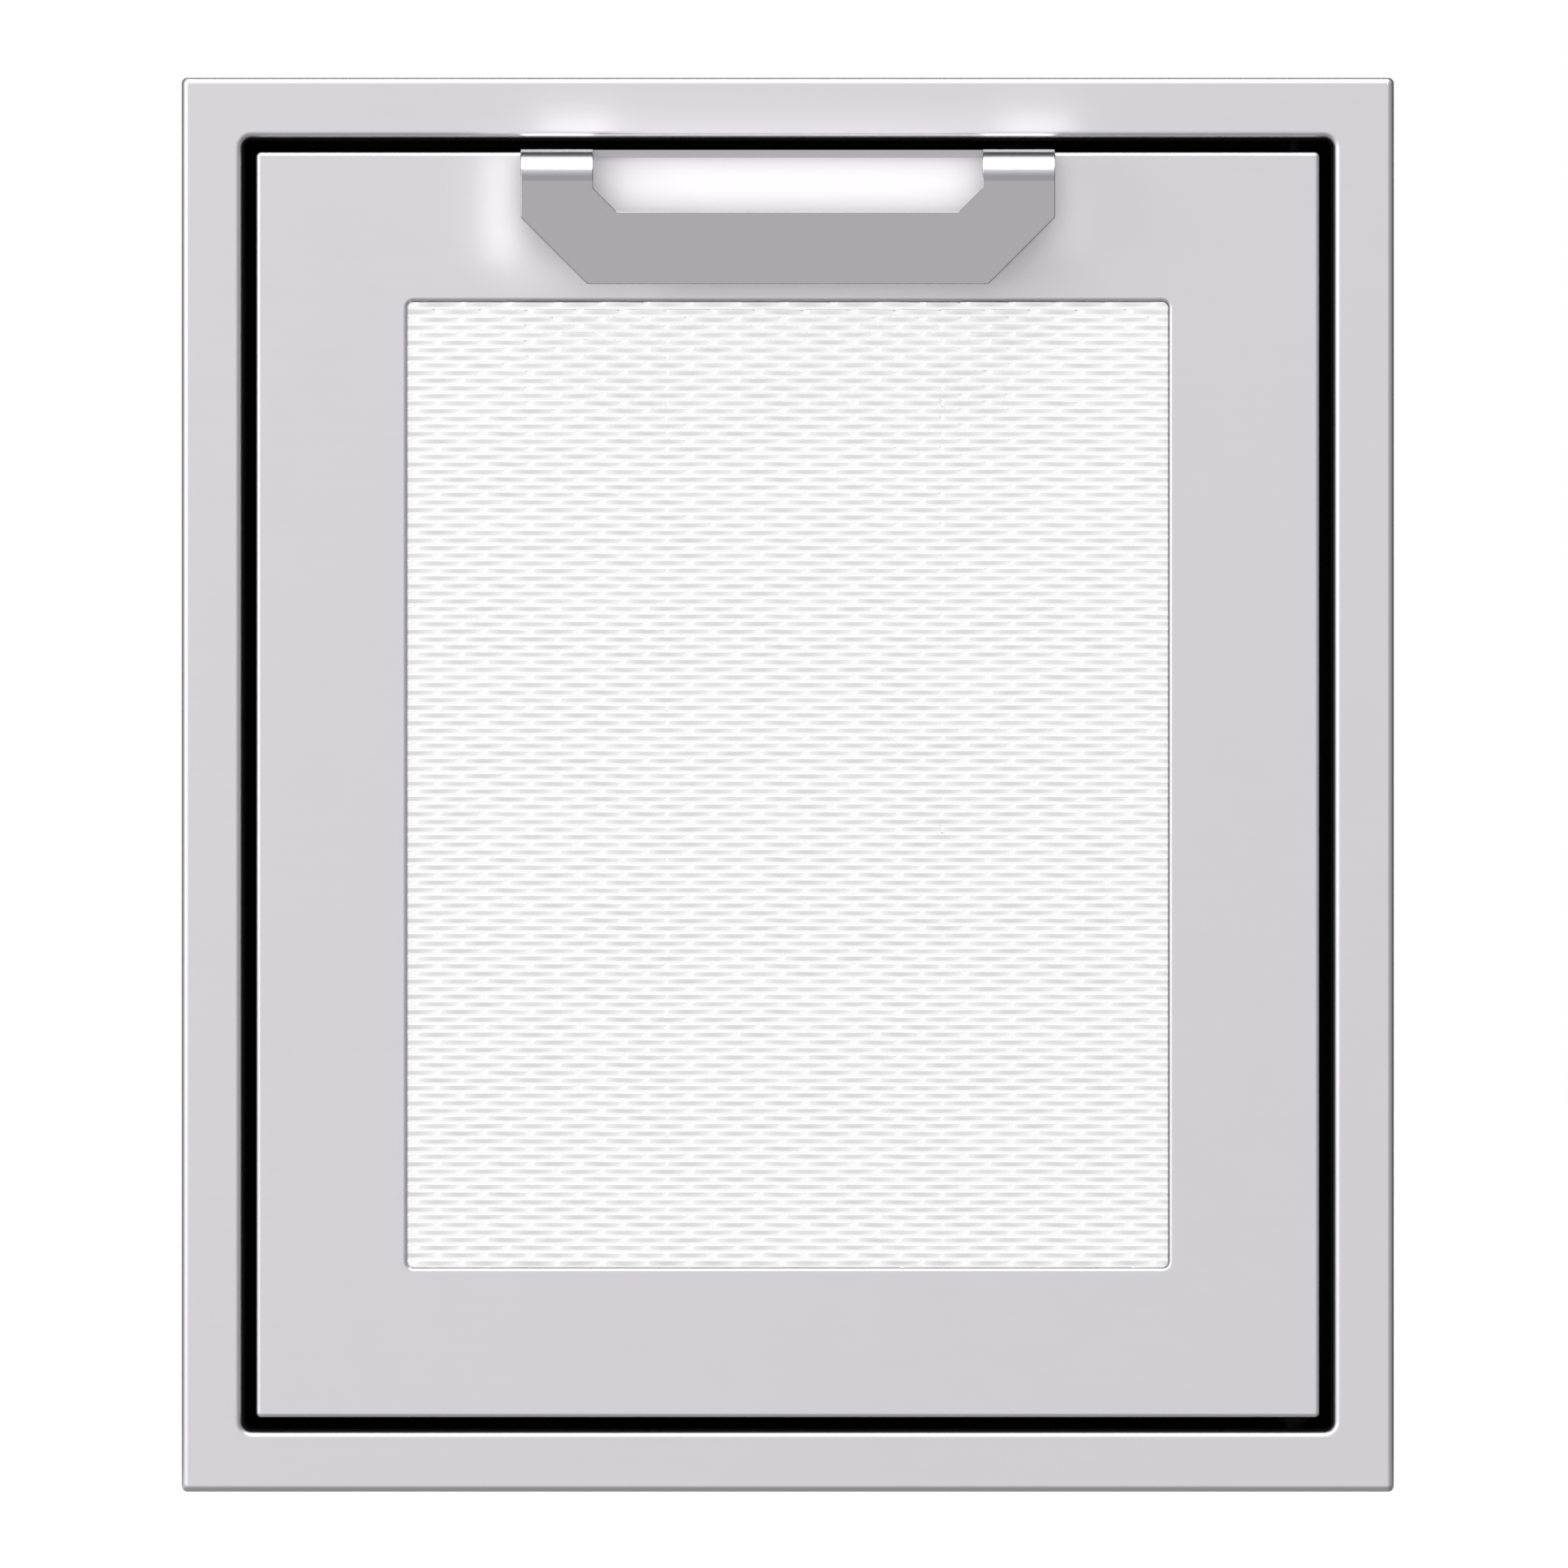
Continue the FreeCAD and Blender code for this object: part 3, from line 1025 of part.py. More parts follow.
def make_handle():
    """Bent plate: a tongue on the door's top edge, two rolled ears and a cut-cornered grip."""
    body = new_body("handle")
    inner_front = f"({HANDLE_FRONT} + handle_plate)"
    foot = f"({HANDLE_TOP} - handle_height)"
    section = outline(body, "Section", "YZ_Plane", "-handle_width / 2",
                      [(TONGUE_BACK, HANDLE_TOP), (TONGUE_BACK, TONGUE_Z), (inner_front, TONGUE_Z),
                       (inner_front, foot), (HANDLE_FRONT, foot), (HANDLE_FRONT, HANDLE_TOP)])
    pad(body, "Plate", section, "handle_width")
    round_edges(body, "RollOutside", "handle_roll",
                lambda e: (runs_along(e, "x") and flat_at(e, "y", HANDLE_FRONT)
                           and flat_at(e, "z", HANDLE_TOP)))
    round_edges(body, "RollInside", "handle_roll - handle_plate",
                lambda e: runs_along(e, "x") and flat_at(e, "y", inner_front) and flat_at(e, "z", TONGUE_Z))
    cut_corners(body, "LowerCorners", "handle_cut",
                lambda e: runs_along(e, "y") and flat_at(e, "z", foot))
    half = "(handle_width / 2 - ear_width)"
    floor = f"({HANDLE_TOP} - finger_depth)"
    top = f"{HANDLE_TOP} + cut_past"
    points = [(f"-{half}", top), (f"-{half}", f"{floor} + finger_cut"), (f"finger_cut - {half}", floor),
              (f"{half} - finger_cut", floor), (half, f"{floor} + finger_cut"), (half, top)]
    opening = outline(body, "FingerOutline", "XZ_Plane", f"{FACE_Y} - finger_start", points)
    pocket(body, "FingerOpening", opening, "handle_reach + cut_past")
    round_edges(body, "CornerRounds", "corner_round",
                lambda e: runs_along(e, "y") and e.BoundBox.ZMax < number(f"{floor} + finger_cut") + SAME)
    round_edges(body, "BrokenEdges", "handle_edge", lambda e: flat_at(e, "y", HANDLE_FRONT))
    for i, across in enumerate(handle_screw_places()):
        start = f"{FACE_Y} + handle_screw_back"
        hole(body, f"ScrewHole{i}", "z", (across, start, TONGUE_Z), "handle_plate", "screw_shank")
        cone(body, f"Sink{i}", "z", (across, start, f"{HANDLE_TOP} - screw_head_height"),
             "screw_head_height", "screw_shank + hole_gap", "screw_head + hole_gap", cut=True)
    return body


def handle_screw_places():
    """Where the handle's screws are, across the door."""
    outer = "(handle_width / 2 - handle_screw_end)"
    return (f"-{outer}", "-handle_screw_inner", "handle_screw_inner", outer)


def make_handle_bar():
    """Bar behind the door's face that takes the handle's screws."""
    body = new_body("handle_bar")
    block(body, "Bar", centred(BAR_X), (INNER_FRONT, TONGUE_BACK),
          (f"{TONGUE_Z} - bar_height", TONGUE_Z))
    for i, across in enumerate(handle_screw_places()):
        hole(body, f"ScrewHole{i}", "z",
             (across, f"{FACE_Y} + handle_screw_back", f"{TONGUE_Z} - bar_height"), "bar_height",
             "screw_shank")
    return body


def make_strike_plate():
    """Steel plate on the door's back that the magnet holds."""
    body = new_body("strike_plate")
    block(body, "Plate", (f"{CATCH_X} - strike_width / 2", f"{CATCH_X} + strike_width / 2"),
          (BACK_Y, STRIKE_BACK), centred("(strike_height / 2)"))
    round_edges(body, "Corners", "strike_sheet", lambda e: runs_along(e, "y"))
    for i in (-1, 1):
        up = f"{i} * strike_rivet_space / 2"
        hole(body, f"RivetHole{i + 1}", "y", (CATCH_X, BACK_Y, up), "strike_sheet", "rivet_shank")
        cone(body, f"Sink{i + 1}", "y", (CATCH_X, f"{STRIKE_BACK} - flush_head_height", up),
             "flush_head_height", "rivet_shank + hole_gap", "flush_head + hole_gap", cut=True)
    return body


# Release pin: what slides in the door's upper pivot block.


def make_release_pin():
    """Sprung upper pivot pin."""
    body = new_body("release_pin")
    rod(body, "Pin", "z", (AXIS_X, AXIS_Y, f"{PIN_TOP} - pin_length"), "pin_length", "pin_diameter")
    cut_corners(body, "Ends", "pin_chamfer", lambda e: e.Curve.TypeId == "Part::GeomCircle")
    return body


def make_thumb_tab():
    """Collar pressed on the pin, with a tab that stands out of the door's back."""
    body = new_body("thumb_tab")
    rod(body, "Collar", "z", (AXIS_X, AXIS_Y, COLLAR_Z), "collar_height", "collar_diameter")
    block(body, "Tab", (f"{AXIS_X} - tab_width / 2", f"{AXIS_X} + tab_width / 2"),
          (AXIS_Y, f"{BACK_Y} + tab_reach"), (COLLAR_Z, f"{COLLAR_Z} + collar_height"))
    hole(body, "Bore", "z", (AXIS_X, AXIS_Y, COLLAR_Z), "collar_height", "pin_diameter")
    return body


def make_pin_spring():
    """Compression spring between the upper block's lower lug and the thumb tab's collar."""
    body = new_body("pin_spring")
    foot = f"({INNER_Z} - upper_block_height + lug_height)"
    wire = sketch(body, "Wire", "XZ_Plane", AXIS_Y)
    wire.setExpression("AttachmentOffset.Base.x", bound(AXIS_X))
    across = "spring_diameter / 2"
    up = f"{foot} + spring_wire / 2"
    centre = Vector(number(across), number(up), 0)
    wire.addGeometry(Part.Circle(centre, Vector(0, 0, 1), number("spring_wire / 2")), False)
    for kind, text, value in (("DistanceX", across, centre.x), ("DistanceY", up, centre.y)):
        index = wire.addConstraint(Sketcher.Constraint(kind, -1, 1, 0, 3, value))
        wire.setExpression(f"Constraints[{index}]", bound(text))
    index = wire.addConstraint(Sketcher.Constraint("Diameter", 0, number("spring_wire")))
    wire.setExpression(f"Constraints[{index}]", bound("spring_wire"))
    doc.recompute()
    coil = body.newObject("PartDesign::AdditiveHelix", "Coil")
    coil.Profile = wire
    coil.ReferenceAxis = (wire, ["V_Axis"])
    coil.Mode = "height-turns-growth"
    coil.setExpression("Height", bound(f"{COLLAR_Z} - {foot} - spring_wire"))
    coil.setExpression("Turns", bound("spring_turns"))
    doc.recompute()
    return body


# Groups of identical fasteners, copied from one model each.


def stop_rivet_places():
    """Rivets of the stop angles, heads inside the sleeve."""
    found = []
    for i in (-1, 0, 1):
        for side in (-1, 1):
            turn = HEAD_LEFT if side > 0 else HEAD_RIGHT
            found.append((at_side(side, f"{JAMB_X} - stop_sheet"), STOP_RIVET_Y,
                          f"{i} * {SIDE_RIVET_Z}", turn))
            turn = HEAD_DOWN if side > 0 else HEAD_UP
            found.append((f"{i} * {CROSS_RIVET_X}", STOP_RIVET_Y,
                          at_side(side, f"{JAMB_Z} - stop_sheet"), turn))
    return found


def corner_rivet_places():
    """Rivets that join the sleeve's corner tabs to its side walls."""
    found = []
    for hand in (-1, 1):
        turn = HEAD_LEFT if hand > 0 else HEAD_RIGHT
        for side in (-1, 1):
            found.append((at_side(hand, f"{JAMB_X} - liner_sheet"), WALL_HOLE_Y,
                          at_side(side, CORNER_RIVET_Z), turn))
    return found


def bracket_places(plane_text, upper_turn, lower_turn):
    """Places on both hinge brackets, at a height given for the upper one."""
    found = []
    for side, turn in ((1, upper_turn), (-1, lower_turn)):
        for across in bracket_screw_places():
            found.append((across, BRACKET_SCREW_Y, at_side(side, plane_text), turn))
    return found


def all_stud_places(depth):
    """Every stud round the window, at one depth."""
    found = []
    for side in (-1, 1):
        for upright in (False, True):
            found += [(across, depth, up, HEAD_BACK) for across, up in stud_places(side, upright)]
    return found


def make_fasteners():
    """All groups of identical fasteners."""
    stop_rivet = make_rivet("stop_rivet_pattern", "(stop_sheet + liner_sheet)")
    corner_rivet = make_rivet("corner_rivet_pattern", "(2 * liner_sheet)")
    rim_rivet = make_rivet("rim_rivet_pattern", "(door_sheet + pan_gap + pan_sheet)", flush=True)
    strike_rivet = make_rivet("strike_rivet_pattern", "(strike_sheet + pan_sheet)", flush=True)
    bolt_length = "(liner_sheet + bracket_sheet + bolt_nut_height + bolt_spare)"
    bolt = make_button_screw("bolt_pattern", "bolt_head", "bolt_head_height", "bolt_shank", bolt_length)
    catch_screw = make_button_screw("catch_screw_pattern", "catch_screw_head", "catch_screw_head_height",
                                    "catch_screw_shank", "(catch_flange + stop_sheet)")
    flat_screw = make_countersunk_screw("flat_screw_pattern")
    bolt_nut = make_nut("bolt_nut_pattern", "bolt_nut_width", "bolt_nut_height", "bolt_shank + hole_gap")
    stud_nut = make_nut("stud_nut_pattern", "nut_width", "nut_height", "stud_diameter + hole_gap")
    stud = make_stud()
    return [
        copies("stop_rivets", stop_rivet, stop_rivet_places()),
        copies("corner_rivets", corner_rivet, corner_rivet_places()),
        copies("bracket_screws", bolt, bracket_places(JAMB_Z, HEAD_DOWN, HEAD_UP)),
        copies("bracket_nuts", bolt_nut,
               bracket_places(f"{LINER_Z} + bracket_sheet", HEAD_UP, HEAD_DOWN)),
        copies("catch_screws", catch_screw,
               [(catch_screw_across(), f"{STOP_BACK} + catch_flange", f"{i} * catch_screw_space / 2",
                 HEAD_BACK) for i in (-1, 1)]),
        copies("handle_screws", flat_screw,
               [(across, f"{FACE_Y} + handle_screw_back", HANDLE_TOP, HEAD_UP)
                for across in handle_screw_places()]),
        copies("pivot_block_screws", flat_screw,
               [(BLOCK_SCREW_X, BACK_Y, up, HEAD_BACK) for up in block_screw_heights()]),
        copies("rim_rivets", rim_rivet, [(*start, turn) for _, start, turn in rim_rivet_places()]),
        copies("strike_rivets", strike_rivet,
               [(CATCH_X, STRIKE_BACK, f"{i} * strike_rivet_space / 2", HEAD_BACK) for i in (-1, 1)]),
        copies("insert_studs", stud, all_stud_places(INNER_FRONT)),
        copies("insert_nuts", stud_nut, all_stud_places(CLAMP_BACK)),
    ]


def make_sub_parts():
    """Every sub-part that is written out, in the order of assembly."""
    frame = [
        make_trim_frame(),
        make_reveal_lining(),
        make_side_liner("liner_left", -1),
        make_side_liner("liner_right", 1),
        make_cross_liner("liner_top", 1),
        make_cross_liner("liner_bottom", -1),
        make_side_stop("stop_angle_left", -1),
        make_side_stop("stop_angle_right", 1),
        make_cross_stop("stop_angle_top", 1),
        make_cross_stop("stop_angle_bottom", -1),
        make_side_seal("seal_latch", -1),
        make_side_seal("seal_hinge", 1),
        make_cross_seal("seal_top", 1),
        make_cross_seal("seal_bottom", -1),
        make_bracket("upper_bracket", 1),
        make_bracket("lower_bracket", -1),
        make_upper_bush(),
        make_lower_pivot_pin(),
        make_thrust_washer(),
        make_catch_housing(),
        make_magnet(),
        make_pole_plates(),
    ]
    door = [
        make_door_skin(),
        make_textured_sheet(),
        make_clamp("clamp_top", 1, False),
        make_clamp("clamp_bottom", -1, False),
        make_clamp("clamp_left", -1, True),
        make_clamp("clamp_right", 1, True),
        make_back_pan(),
        make_upper_block(),
        make_lower_block(),
        make_lower_bush(),
        make_handle_bar(),
        make_handle(),
        make_strike_plate(),
        make_pin_spring(),
    ]
    pin = [make_release_pin(), make_thumb_tab()]
    return frame + door + pin + make_fasteners()


sub_parts = make_sub_parts()
doc.recompute()

# Nothing is written unless every feature and every shape is sound.
failed = [item.Name for item in doc.Objects if "Invalid" in item.State or "Error" in item.State]
if failed:
    raise RuntimeError(f"failed features: {failed}")
for item in sub_parts:
    if item.Shape.isNull() or not item.Shape.isValid():
        raise RuntimeError(f"{item.Label}: no valid shape")

os.makedirs("parts", exist_ok=True)
for item in sub_parts:
    item.Shape.exportStep(f"parts/{item.Label}.step")
    print(f"{item.Label}: {len(item.Shape.Solids)} solid, {item.Shape.Volume / 1000:.2f} cm3")
print(f"{len(sub_parts)} sub-parts")
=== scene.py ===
# %% [markdown]
# # An access door for an outdoor kitchen island
# The real door is a folded stainless trim frame with a flush double-skinned door in it.
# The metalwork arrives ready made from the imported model: 49 parts with their true sizes.
# This lesson gives each part its finish, makes the two pieces that need a finer mesh (the
# embossed sheet in the door and the spring of the release pin), and sets up the studio.

import json
import math
import random

import bmesh
import bpy
from mathutils import Matrix, Vector


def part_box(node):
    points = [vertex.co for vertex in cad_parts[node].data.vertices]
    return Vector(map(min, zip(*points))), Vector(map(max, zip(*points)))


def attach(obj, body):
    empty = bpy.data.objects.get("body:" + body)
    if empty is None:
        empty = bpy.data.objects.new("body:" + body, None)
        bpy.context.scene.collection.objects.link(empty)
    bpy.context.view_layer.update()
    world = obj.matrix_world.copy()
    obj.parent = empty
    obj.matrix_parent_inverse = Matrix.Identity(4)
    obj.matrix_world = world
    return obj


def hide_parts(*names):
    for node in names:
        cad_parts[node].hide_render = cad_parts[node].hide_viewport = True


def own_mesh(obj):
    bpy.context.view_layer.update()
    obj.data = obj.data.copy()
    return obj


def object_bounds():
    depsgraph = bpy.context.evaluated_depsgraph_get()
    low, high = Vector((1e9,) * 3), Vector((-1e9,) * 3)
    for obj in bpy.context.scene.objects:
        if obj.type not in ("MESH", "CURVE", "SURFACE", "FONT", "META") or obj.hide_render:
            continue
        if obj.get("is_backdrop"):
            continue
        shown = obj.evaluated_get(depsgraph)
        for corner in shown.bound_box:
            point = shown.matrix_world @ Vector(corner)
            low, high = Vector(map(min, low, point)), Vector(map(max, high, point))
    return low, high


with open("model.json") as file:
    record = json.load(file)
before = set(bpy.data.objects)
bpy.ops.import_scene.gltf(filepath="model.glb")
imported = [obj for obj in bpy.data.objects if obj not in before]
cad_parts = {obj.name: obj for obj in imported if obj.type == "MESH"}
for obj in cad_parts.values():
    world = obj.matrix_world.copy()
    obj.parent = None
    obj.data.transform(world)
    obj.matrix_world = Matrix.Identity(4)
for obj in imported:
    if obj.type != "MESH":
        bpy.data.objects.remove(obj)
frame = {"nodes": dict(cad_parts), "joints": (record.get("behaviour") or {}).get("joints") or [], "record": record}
parts = frame["nodes"]
metal_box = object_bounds()
low, high = metal_box
print("parts:", len(parts), "overall size in mm:", [round(1000 * s, 1) for s in high - low])

# %% [markdown]
# ## The camera
# The photograph is taken square on, from a good distance, so that the sides of the frame
# can't be seen and its edges stay parallel. A long lens far away does the same. The lens
# follows from how much of the world the picture holds at the face of the door, and a small
# offset puts the frame a few pixels off the middle, where the photograph has it.

# %% Camera
MM = 0.001
CAMERA_DISTANCE = 25
PICTURE_WIDTH = 591.4 * MM
LEFT_OF_DOOR = 1.44 * MM
ABOVE_DOOR = 0.28 * MM
face_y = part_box("door_skin")[0].y

camera_data = bpy.data.cameras.new("camera")
camera_data.lens = camera_data.sensor_width * CAMERA_DISTANCE / PICTURE_WIDTH
camera = bpy.data.objects.new("camera", camera_data)
camera.location = (-LEFT_OF_DOOR, face_y - CAMERA_DISTANCE, ABOVE_DOOR)
camera.rotation_euler = (math.radians(90), 0, 0)
camera_data.clip_end = 4 * CAMERA_DISTANCE
bpy.context.scene.collection.objects.link(camera)
bpy.context.scene.camera = camera
bpy.context.scene.view_settings.view_transform = "Standard"
print("lens:", round(camera_data.lens, 1), "mm")

# %% [markdown]
# ## Shader maths that reads like sums
# Every finish here is a pattern worked out from the place on the object, so a material is
# mostly arithmetic. `Shade` wraps one output of a node and turns +, - and * into Math nodes.
# `Finish` holds the node tree, and its one method `add` makes any other node: its settings
# are set first, because some of them change which sockets the node has.

# %% Two small classes for materials
class Shade:
    """One output socket, used in sums as if it were a number."""

    def __init__(self, finish, socket):
        self.finish = finish
        self.socket = socket

    def __add__(self, other):
        return self.finish.maths("ADD", self, other)

    def __sub__(self, other):
        return self.finish.maths("SUBTRACT", self, other)

    def __rsub__(self, other):
        return self.finish.maths("SUBTRACT", other, self)

    def __mul__(self, other):
        return self.finish.maths("MULTIPLY", self, other)

    __radd__ = __add__
    __rmul__ = __mul__


class Finish:
    """A node tree that is being built, of a material or of the world."""

    def __init__(self, owner):
        owner.use_nodes = True
        self.tree = owner.node_tree
        self.tree.nodes.clear()

    def add(self, kind, settings=None, inputs=None, out=0):
        node = self.tree.nodes.new(kind)
        for name, value in (settings or {}).items():
            setattr(node, name, value)
        for name, value in (inputs or {}).items():
            if isinstance(value, Shade):
                self.tree.links.new(value.socket, node.inputs[name])
            else:
                node.inputs[name].default_value = value
        return Shade(self, node.outputs[out]) if node.outputs else None

    def maths(self, operation, first, second=0.0):
        return self.add("ShaderNodeMath", {"operation": operation}, {0: first, 1: second})

    def place(self):
        return self.add("ShaderNodeTexCoord", out="Object")

    def ramp(self, value, start, end, first=0.0, last=1.0):
        """From one number to another, with soft ends, as value goes from start to end."""
        limits = {
            "Value": value,
            "From Min": start,
            "From Max": end,
            "To Min": first,
            "To Max": last,
        }
        return self.add("ShaderNodeMapRange", {"interpolation_type": "SMOOTHSTEP"}, limits)

    def along(self, vector, axis):
        """One coordinate of a vector."""
        return self.add("ShaderNodeSeparateXYZ", {}, {"Vector": vector}, out=axis)

    def noise(self, scale, detail, stretch=(1, 1, 1)):
        """Cloudy noise between 0 and 1. A stretch of 0.01 along X draws it out along X."""
        spot = self.add("ShaderNodeMapping", {}, {"Vector": self.place(), "Scale": stretch})
        inputs = {"Vector": spot, "Scale": scale, "Detail": detail}
        return self.add("ShaderNodeTexNoise", {}, inputs)

    def blend(self, amount, first, second):
        """From one colour to another, as amount goes from 0 to 1."""
        mix = {"data_type": "RGBA"}
        return self.add("ShaderNodeMix", mix, {"Factor": amount, 6: first, 7: second}, out=2)

    def bump(self, height, depth):
        return self.add("ShaderNodeBump", {}, {"Height": height, "Distance": depth})


def rgb(colour, factor=1.0):
    """A colour, made darker or paler, with the fourth number that sockets ask for."""
    return (*(min(1.0, channel * factor) for channel in colour), 1.0)


def metal(name, colour, metallic=1.0):
    """A material with one surface shader. Returns the material, its finish and the shader."""
    material = bpy.data.materials.new(name)
    finish = Finish(material)
    look = {"Metallic": metallic, "Base Color": rgb(colour)}
    shader = finish.add("ShaderNodeBsdfPrincipled", {}, look)
    finish.add("ShaderNodeOutputMaterial", {}, {"Surface": shader})
    return material, finish, shader.socket.node


def drive(finish, shader, **sockets):
    """Connects patterns to the shader's own sockets, such as Roughness."""
    for name, value in sockets.items():
        finish.tree.links.new(value.socket, shader.inputs[name.replace("_", " ")])


print("classes for materials:", Shade.__name__, "and", Finish.__name__)

# %% [markdown]
# ## Satin stainless steel
# The trim and the door are ground with a fine belt. The lines are far thinner than a pixel
# from where the camera stands, so the sheet looks even, with only a faint cloudiness from
# the rolling. Noise drawn out along X gives the lines, and rounder, larger noise gives the
# cloudiness. Both are kept very weak, because the photograph shows a clean new door.

# %% Satin steel
GRAIN_DEPTH = 0.004 * MM
GRAIN_SWING = 0.08
FINE_LINES = 2600
COARSE_LINES = 700
ROLLED_CLOUDS = 45


def satin_steel(name, colour, roughness, cloud=0.02, second=None):
    """Ground sheet. A second colour comes with a function for how much of it to mix in."""
    material, finish, shader = metal(name, colour)
    fine = finish.noise(FINE_LINES, 3, stretch=(0.012, 1, 1))
    coarse = finish.noise(COARSE_LINES, 2, stretch=(0.02, 1, 1))
    rolled = finish.noise(ROLLED_CLOUDS, 3)
    grain = 0.6 * fine + 0.4 * coarse
    darker, paler = rgb(colour, 1 - cloud), rgb(colour, 1 + cloud)
    tone = finish.blend(0.5 * rolled + 0.5 * coarse, darker, paler)
    if second:
        second_colour, share = second
        tone = finish.blend(share(finish), tone, rgb(second_colour))
    drive(
        finish,
        shader,
        Base_Color=tone,
        Roughness=(roughness - GRAIN_SWING / 2) + GRAIN_SWING * grain,
        Normal=finish.bump(grain, GRAIN_DEPTH),
    )
    return material


finishes = {
    "embossed_sheet": satin_steel("embossed_steel", (0.942, 0.937, 0.942), 0.3, cloud=0.01),
}
print("first finish:", finishes["embossed_sheet"].name)

# %% [markdown]
# Where the window's curled edge meets the embossed sheet, the photograph shows a thin dark
# line at the top, the right and the bottom. It may be a reflection of something dark that
# stood far off. A card that gives it would darken other bends too, so the steel of the door
# has a second, darker colour instead, which is mixed in deep in the curl and nowhere else.
# Object coordinates tell how deep a spot lies behind the door's face.

# %% Steel of the trim and the door
WINDOW_EDGE = Vector((147, 186)) * MM
LEFT_CURL = -142 * MM
# the shade comes in between the first two depths behind the face, and goes between the others
SHADE_COMES = (0.2 * MM, 0.7 * MM)
SHADE_GOES = (2.2 * MM, 2.6 * MM)


def shade_in_curl(finish):
    """1 deep in the window's curled edge, where it meets the sheet, but not on the left."""
    place = finish.place()
    across, up = finish.along(place, "X"), finish.along(place, "Z")
    depth = finish.along(place, "Y") - face_y
    deep = finish.ramp(depth, *SHADE_COMES) * finish.ramp(depth, *SHADE_GOES, 1.0, 0.0)
    inside = finish.maths("LESS_THAN", finish.maths("ABSOLUTE", across), WINDOW_EDGE.x)
    inside = inside * finish.maths("LESS_THAN", finish.maths("ABSOLUTE", up), WINDOW_EDGE.y)
    return deep * inside * finish.maths("GREATER_THAN", across, LEFT_CURL)


finishes["brushed_face"] = satin_steel(
    "satin_steel_face", (0.672, 0.659, 0.677), 0.42,
    second=((0.2, 0.195, 0.2), shade_in_curl),
)
print("satin finishes:", len(finishes))

# %% [markdown]
# The handle is a thicker plate. Its front is darker than the sheet round it, and so is the edge of its tongue,
# which shows as a strip in the finger opening. Its other edges, the top of its rolled ears and its back are paler:
# painted light, which the back throws onto the door behind and under the grip. The depth behind the handle's front
# tells the pale part from the front, and between the ears all that is deep is the tongue.

# %% Handle finish
handle_low, handle_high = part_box("handle")
EAR_WIDTH = 27.4 * MM
# behind the handle's front: where its painted bright edge begins and is full, and where the strip is
EDGE_DEPTHS = (0.1 * MM, 1.6 * MM)
STRIP_DEPTH = 10 * MM
tongue_end = handle_high.x - EAR_WIDTH


def painted_light_share(finish):
    """How much painted light the handle gets: its rolled ears and edges are paler, its front and strip aren't."""
    place = finish.place()
    depth = finish.along(place, "Y") - handle_low.y
    aside = finish.maths("ABSOLUTE", finish.along(place, "X"))
    ears = finish.maths("GREATER_THAN", aside, tongue_end)
    strip = finish.maths("GREATER_THAN", depth, STRIP_DEPTH)
    return finish.ramp(depth, *EDGE_DEPTHS) * (1 - strip * (1 - ears))


# the second, paler colour is painted light on the handle's ears, edges and back
finishes["handle_steel"] = satin_steel(
    "satin_steel_handle", (0.379, 0.371, 0.389), 0.22, cloud=0.01,
    second=((0.61, 0.6, 0.62), painted_light_share),
)
print("tongue ends beside the middle at:", round(tongue_end / MM, 1), "mm")

# %% [markdown]
# ## The finishes inside
# The sleeve, stops and back pan are plain mill sheet: duller, with soft blotches from the
# rollers. Turned and cut parts carry fine rings or strokes, fasteners are formed cold and
# tumbled, and the strike plate is zinc plated. Each is the same idea with other numbers, so
# one function makes them.

# %% Workshop metals
def workshop_metal(name, colour, roughness, blotch, scale, hollow):
    """Metal with blotches of tone and small hollows, as rolling, tumbling or cutting leave."""
    material, finish, shader = metal(name, colour)
    patches = finish.noise(scale, 4)
    specks = finish.noise(scale * 9, 2)
    drive(
        finish,
        shader,
        Base_Color=finish.blend(patches, rgb(colour, 1 - blotch), rgb(colour, 1 + blotch)),
        Roughness=(roughness - 0.08) + 0.1 * patches + 0.06 * specks,
        Normal=finish.bump(specks, hollow * MM),
    )
    return material


# finish, material, colour, roughness, strength and size of the blotches, hollows in mm
WORKSHOP_METALS = (
    ("mill_sheet", "mill_sheet", (0.56, 0.57, 0.58), 0.42, 0.08, 30, 0.004),
    ("machined_steel", "machined_steel", (0.5, 0.51, 0.52), 0.33, 0.06, 90, 0.008),
    ("fastener_steel", "fastener_steel", (0.58, 0.58, 0.58), 0.3, 0.08, 300, 0.01),
    ("plated_steel", "zinc_plate", (0.62, 0.62, 0.63), 0.28, 0.1, 140, 0.006),
    # black oxide is darker than its own colour: painted shade, so the pins in the gap round the door show black
    ("blackened_steel", "black_oxide", (0.004, 0.004, 0.0045), 0.55, 0.1, 160, 0.008),
)
for slot, name, *numbers in WORKSHOP_METALS:
    finishes[slot] = workshop_metal(name, *numbers)
print("workshop metals:", len(WORKSHOP_METALS))

# %% [markdown]
# ## Rubber, plastic and magnet
# The gap round the door is a deep black line. The rubber that lines it is matt and nearly black, with a faint
# bloom, and it has hardly any sheen of its own; its colour is set darker than rubber's own, as painted shade, so
# that the gap shows black. The catch, the lower bush and the washer under it are moulded plastic with a fine
# texture. Part of the bush stands in that black gap, so the plastic is darkened the same way, as painted shade,
# and is nearly as dull as the rubber. The catch's magnet is a grey ceramic.

# %% Moulded parts
def moulded(name, colour, roughness, sheen, scale, hollow):
    """A moulded surface: specks of tone, a fine texture and little gloss."""
    material, finish, shader = metal(name, colour, metallic=0.0)
    shader.inputs["Specular IOR Level"].default_value = sheen
    bloom = finish.noise(scale / 12, 3)
    texture = finish.noise(scale, 2)
    darker, paler = rgb(colour, 0.7), rgb(colour, 1.3)
    drive(
        finish,
        shader,
        Base_Color=finish.blend(0.5 * bloom + 0.5 * texture, darker, paler),
        Roughness=(roughness - 0.05) + 0.1 * texture,
        Normal=finish.bump(texture, hollow * MM),
    )
    return material


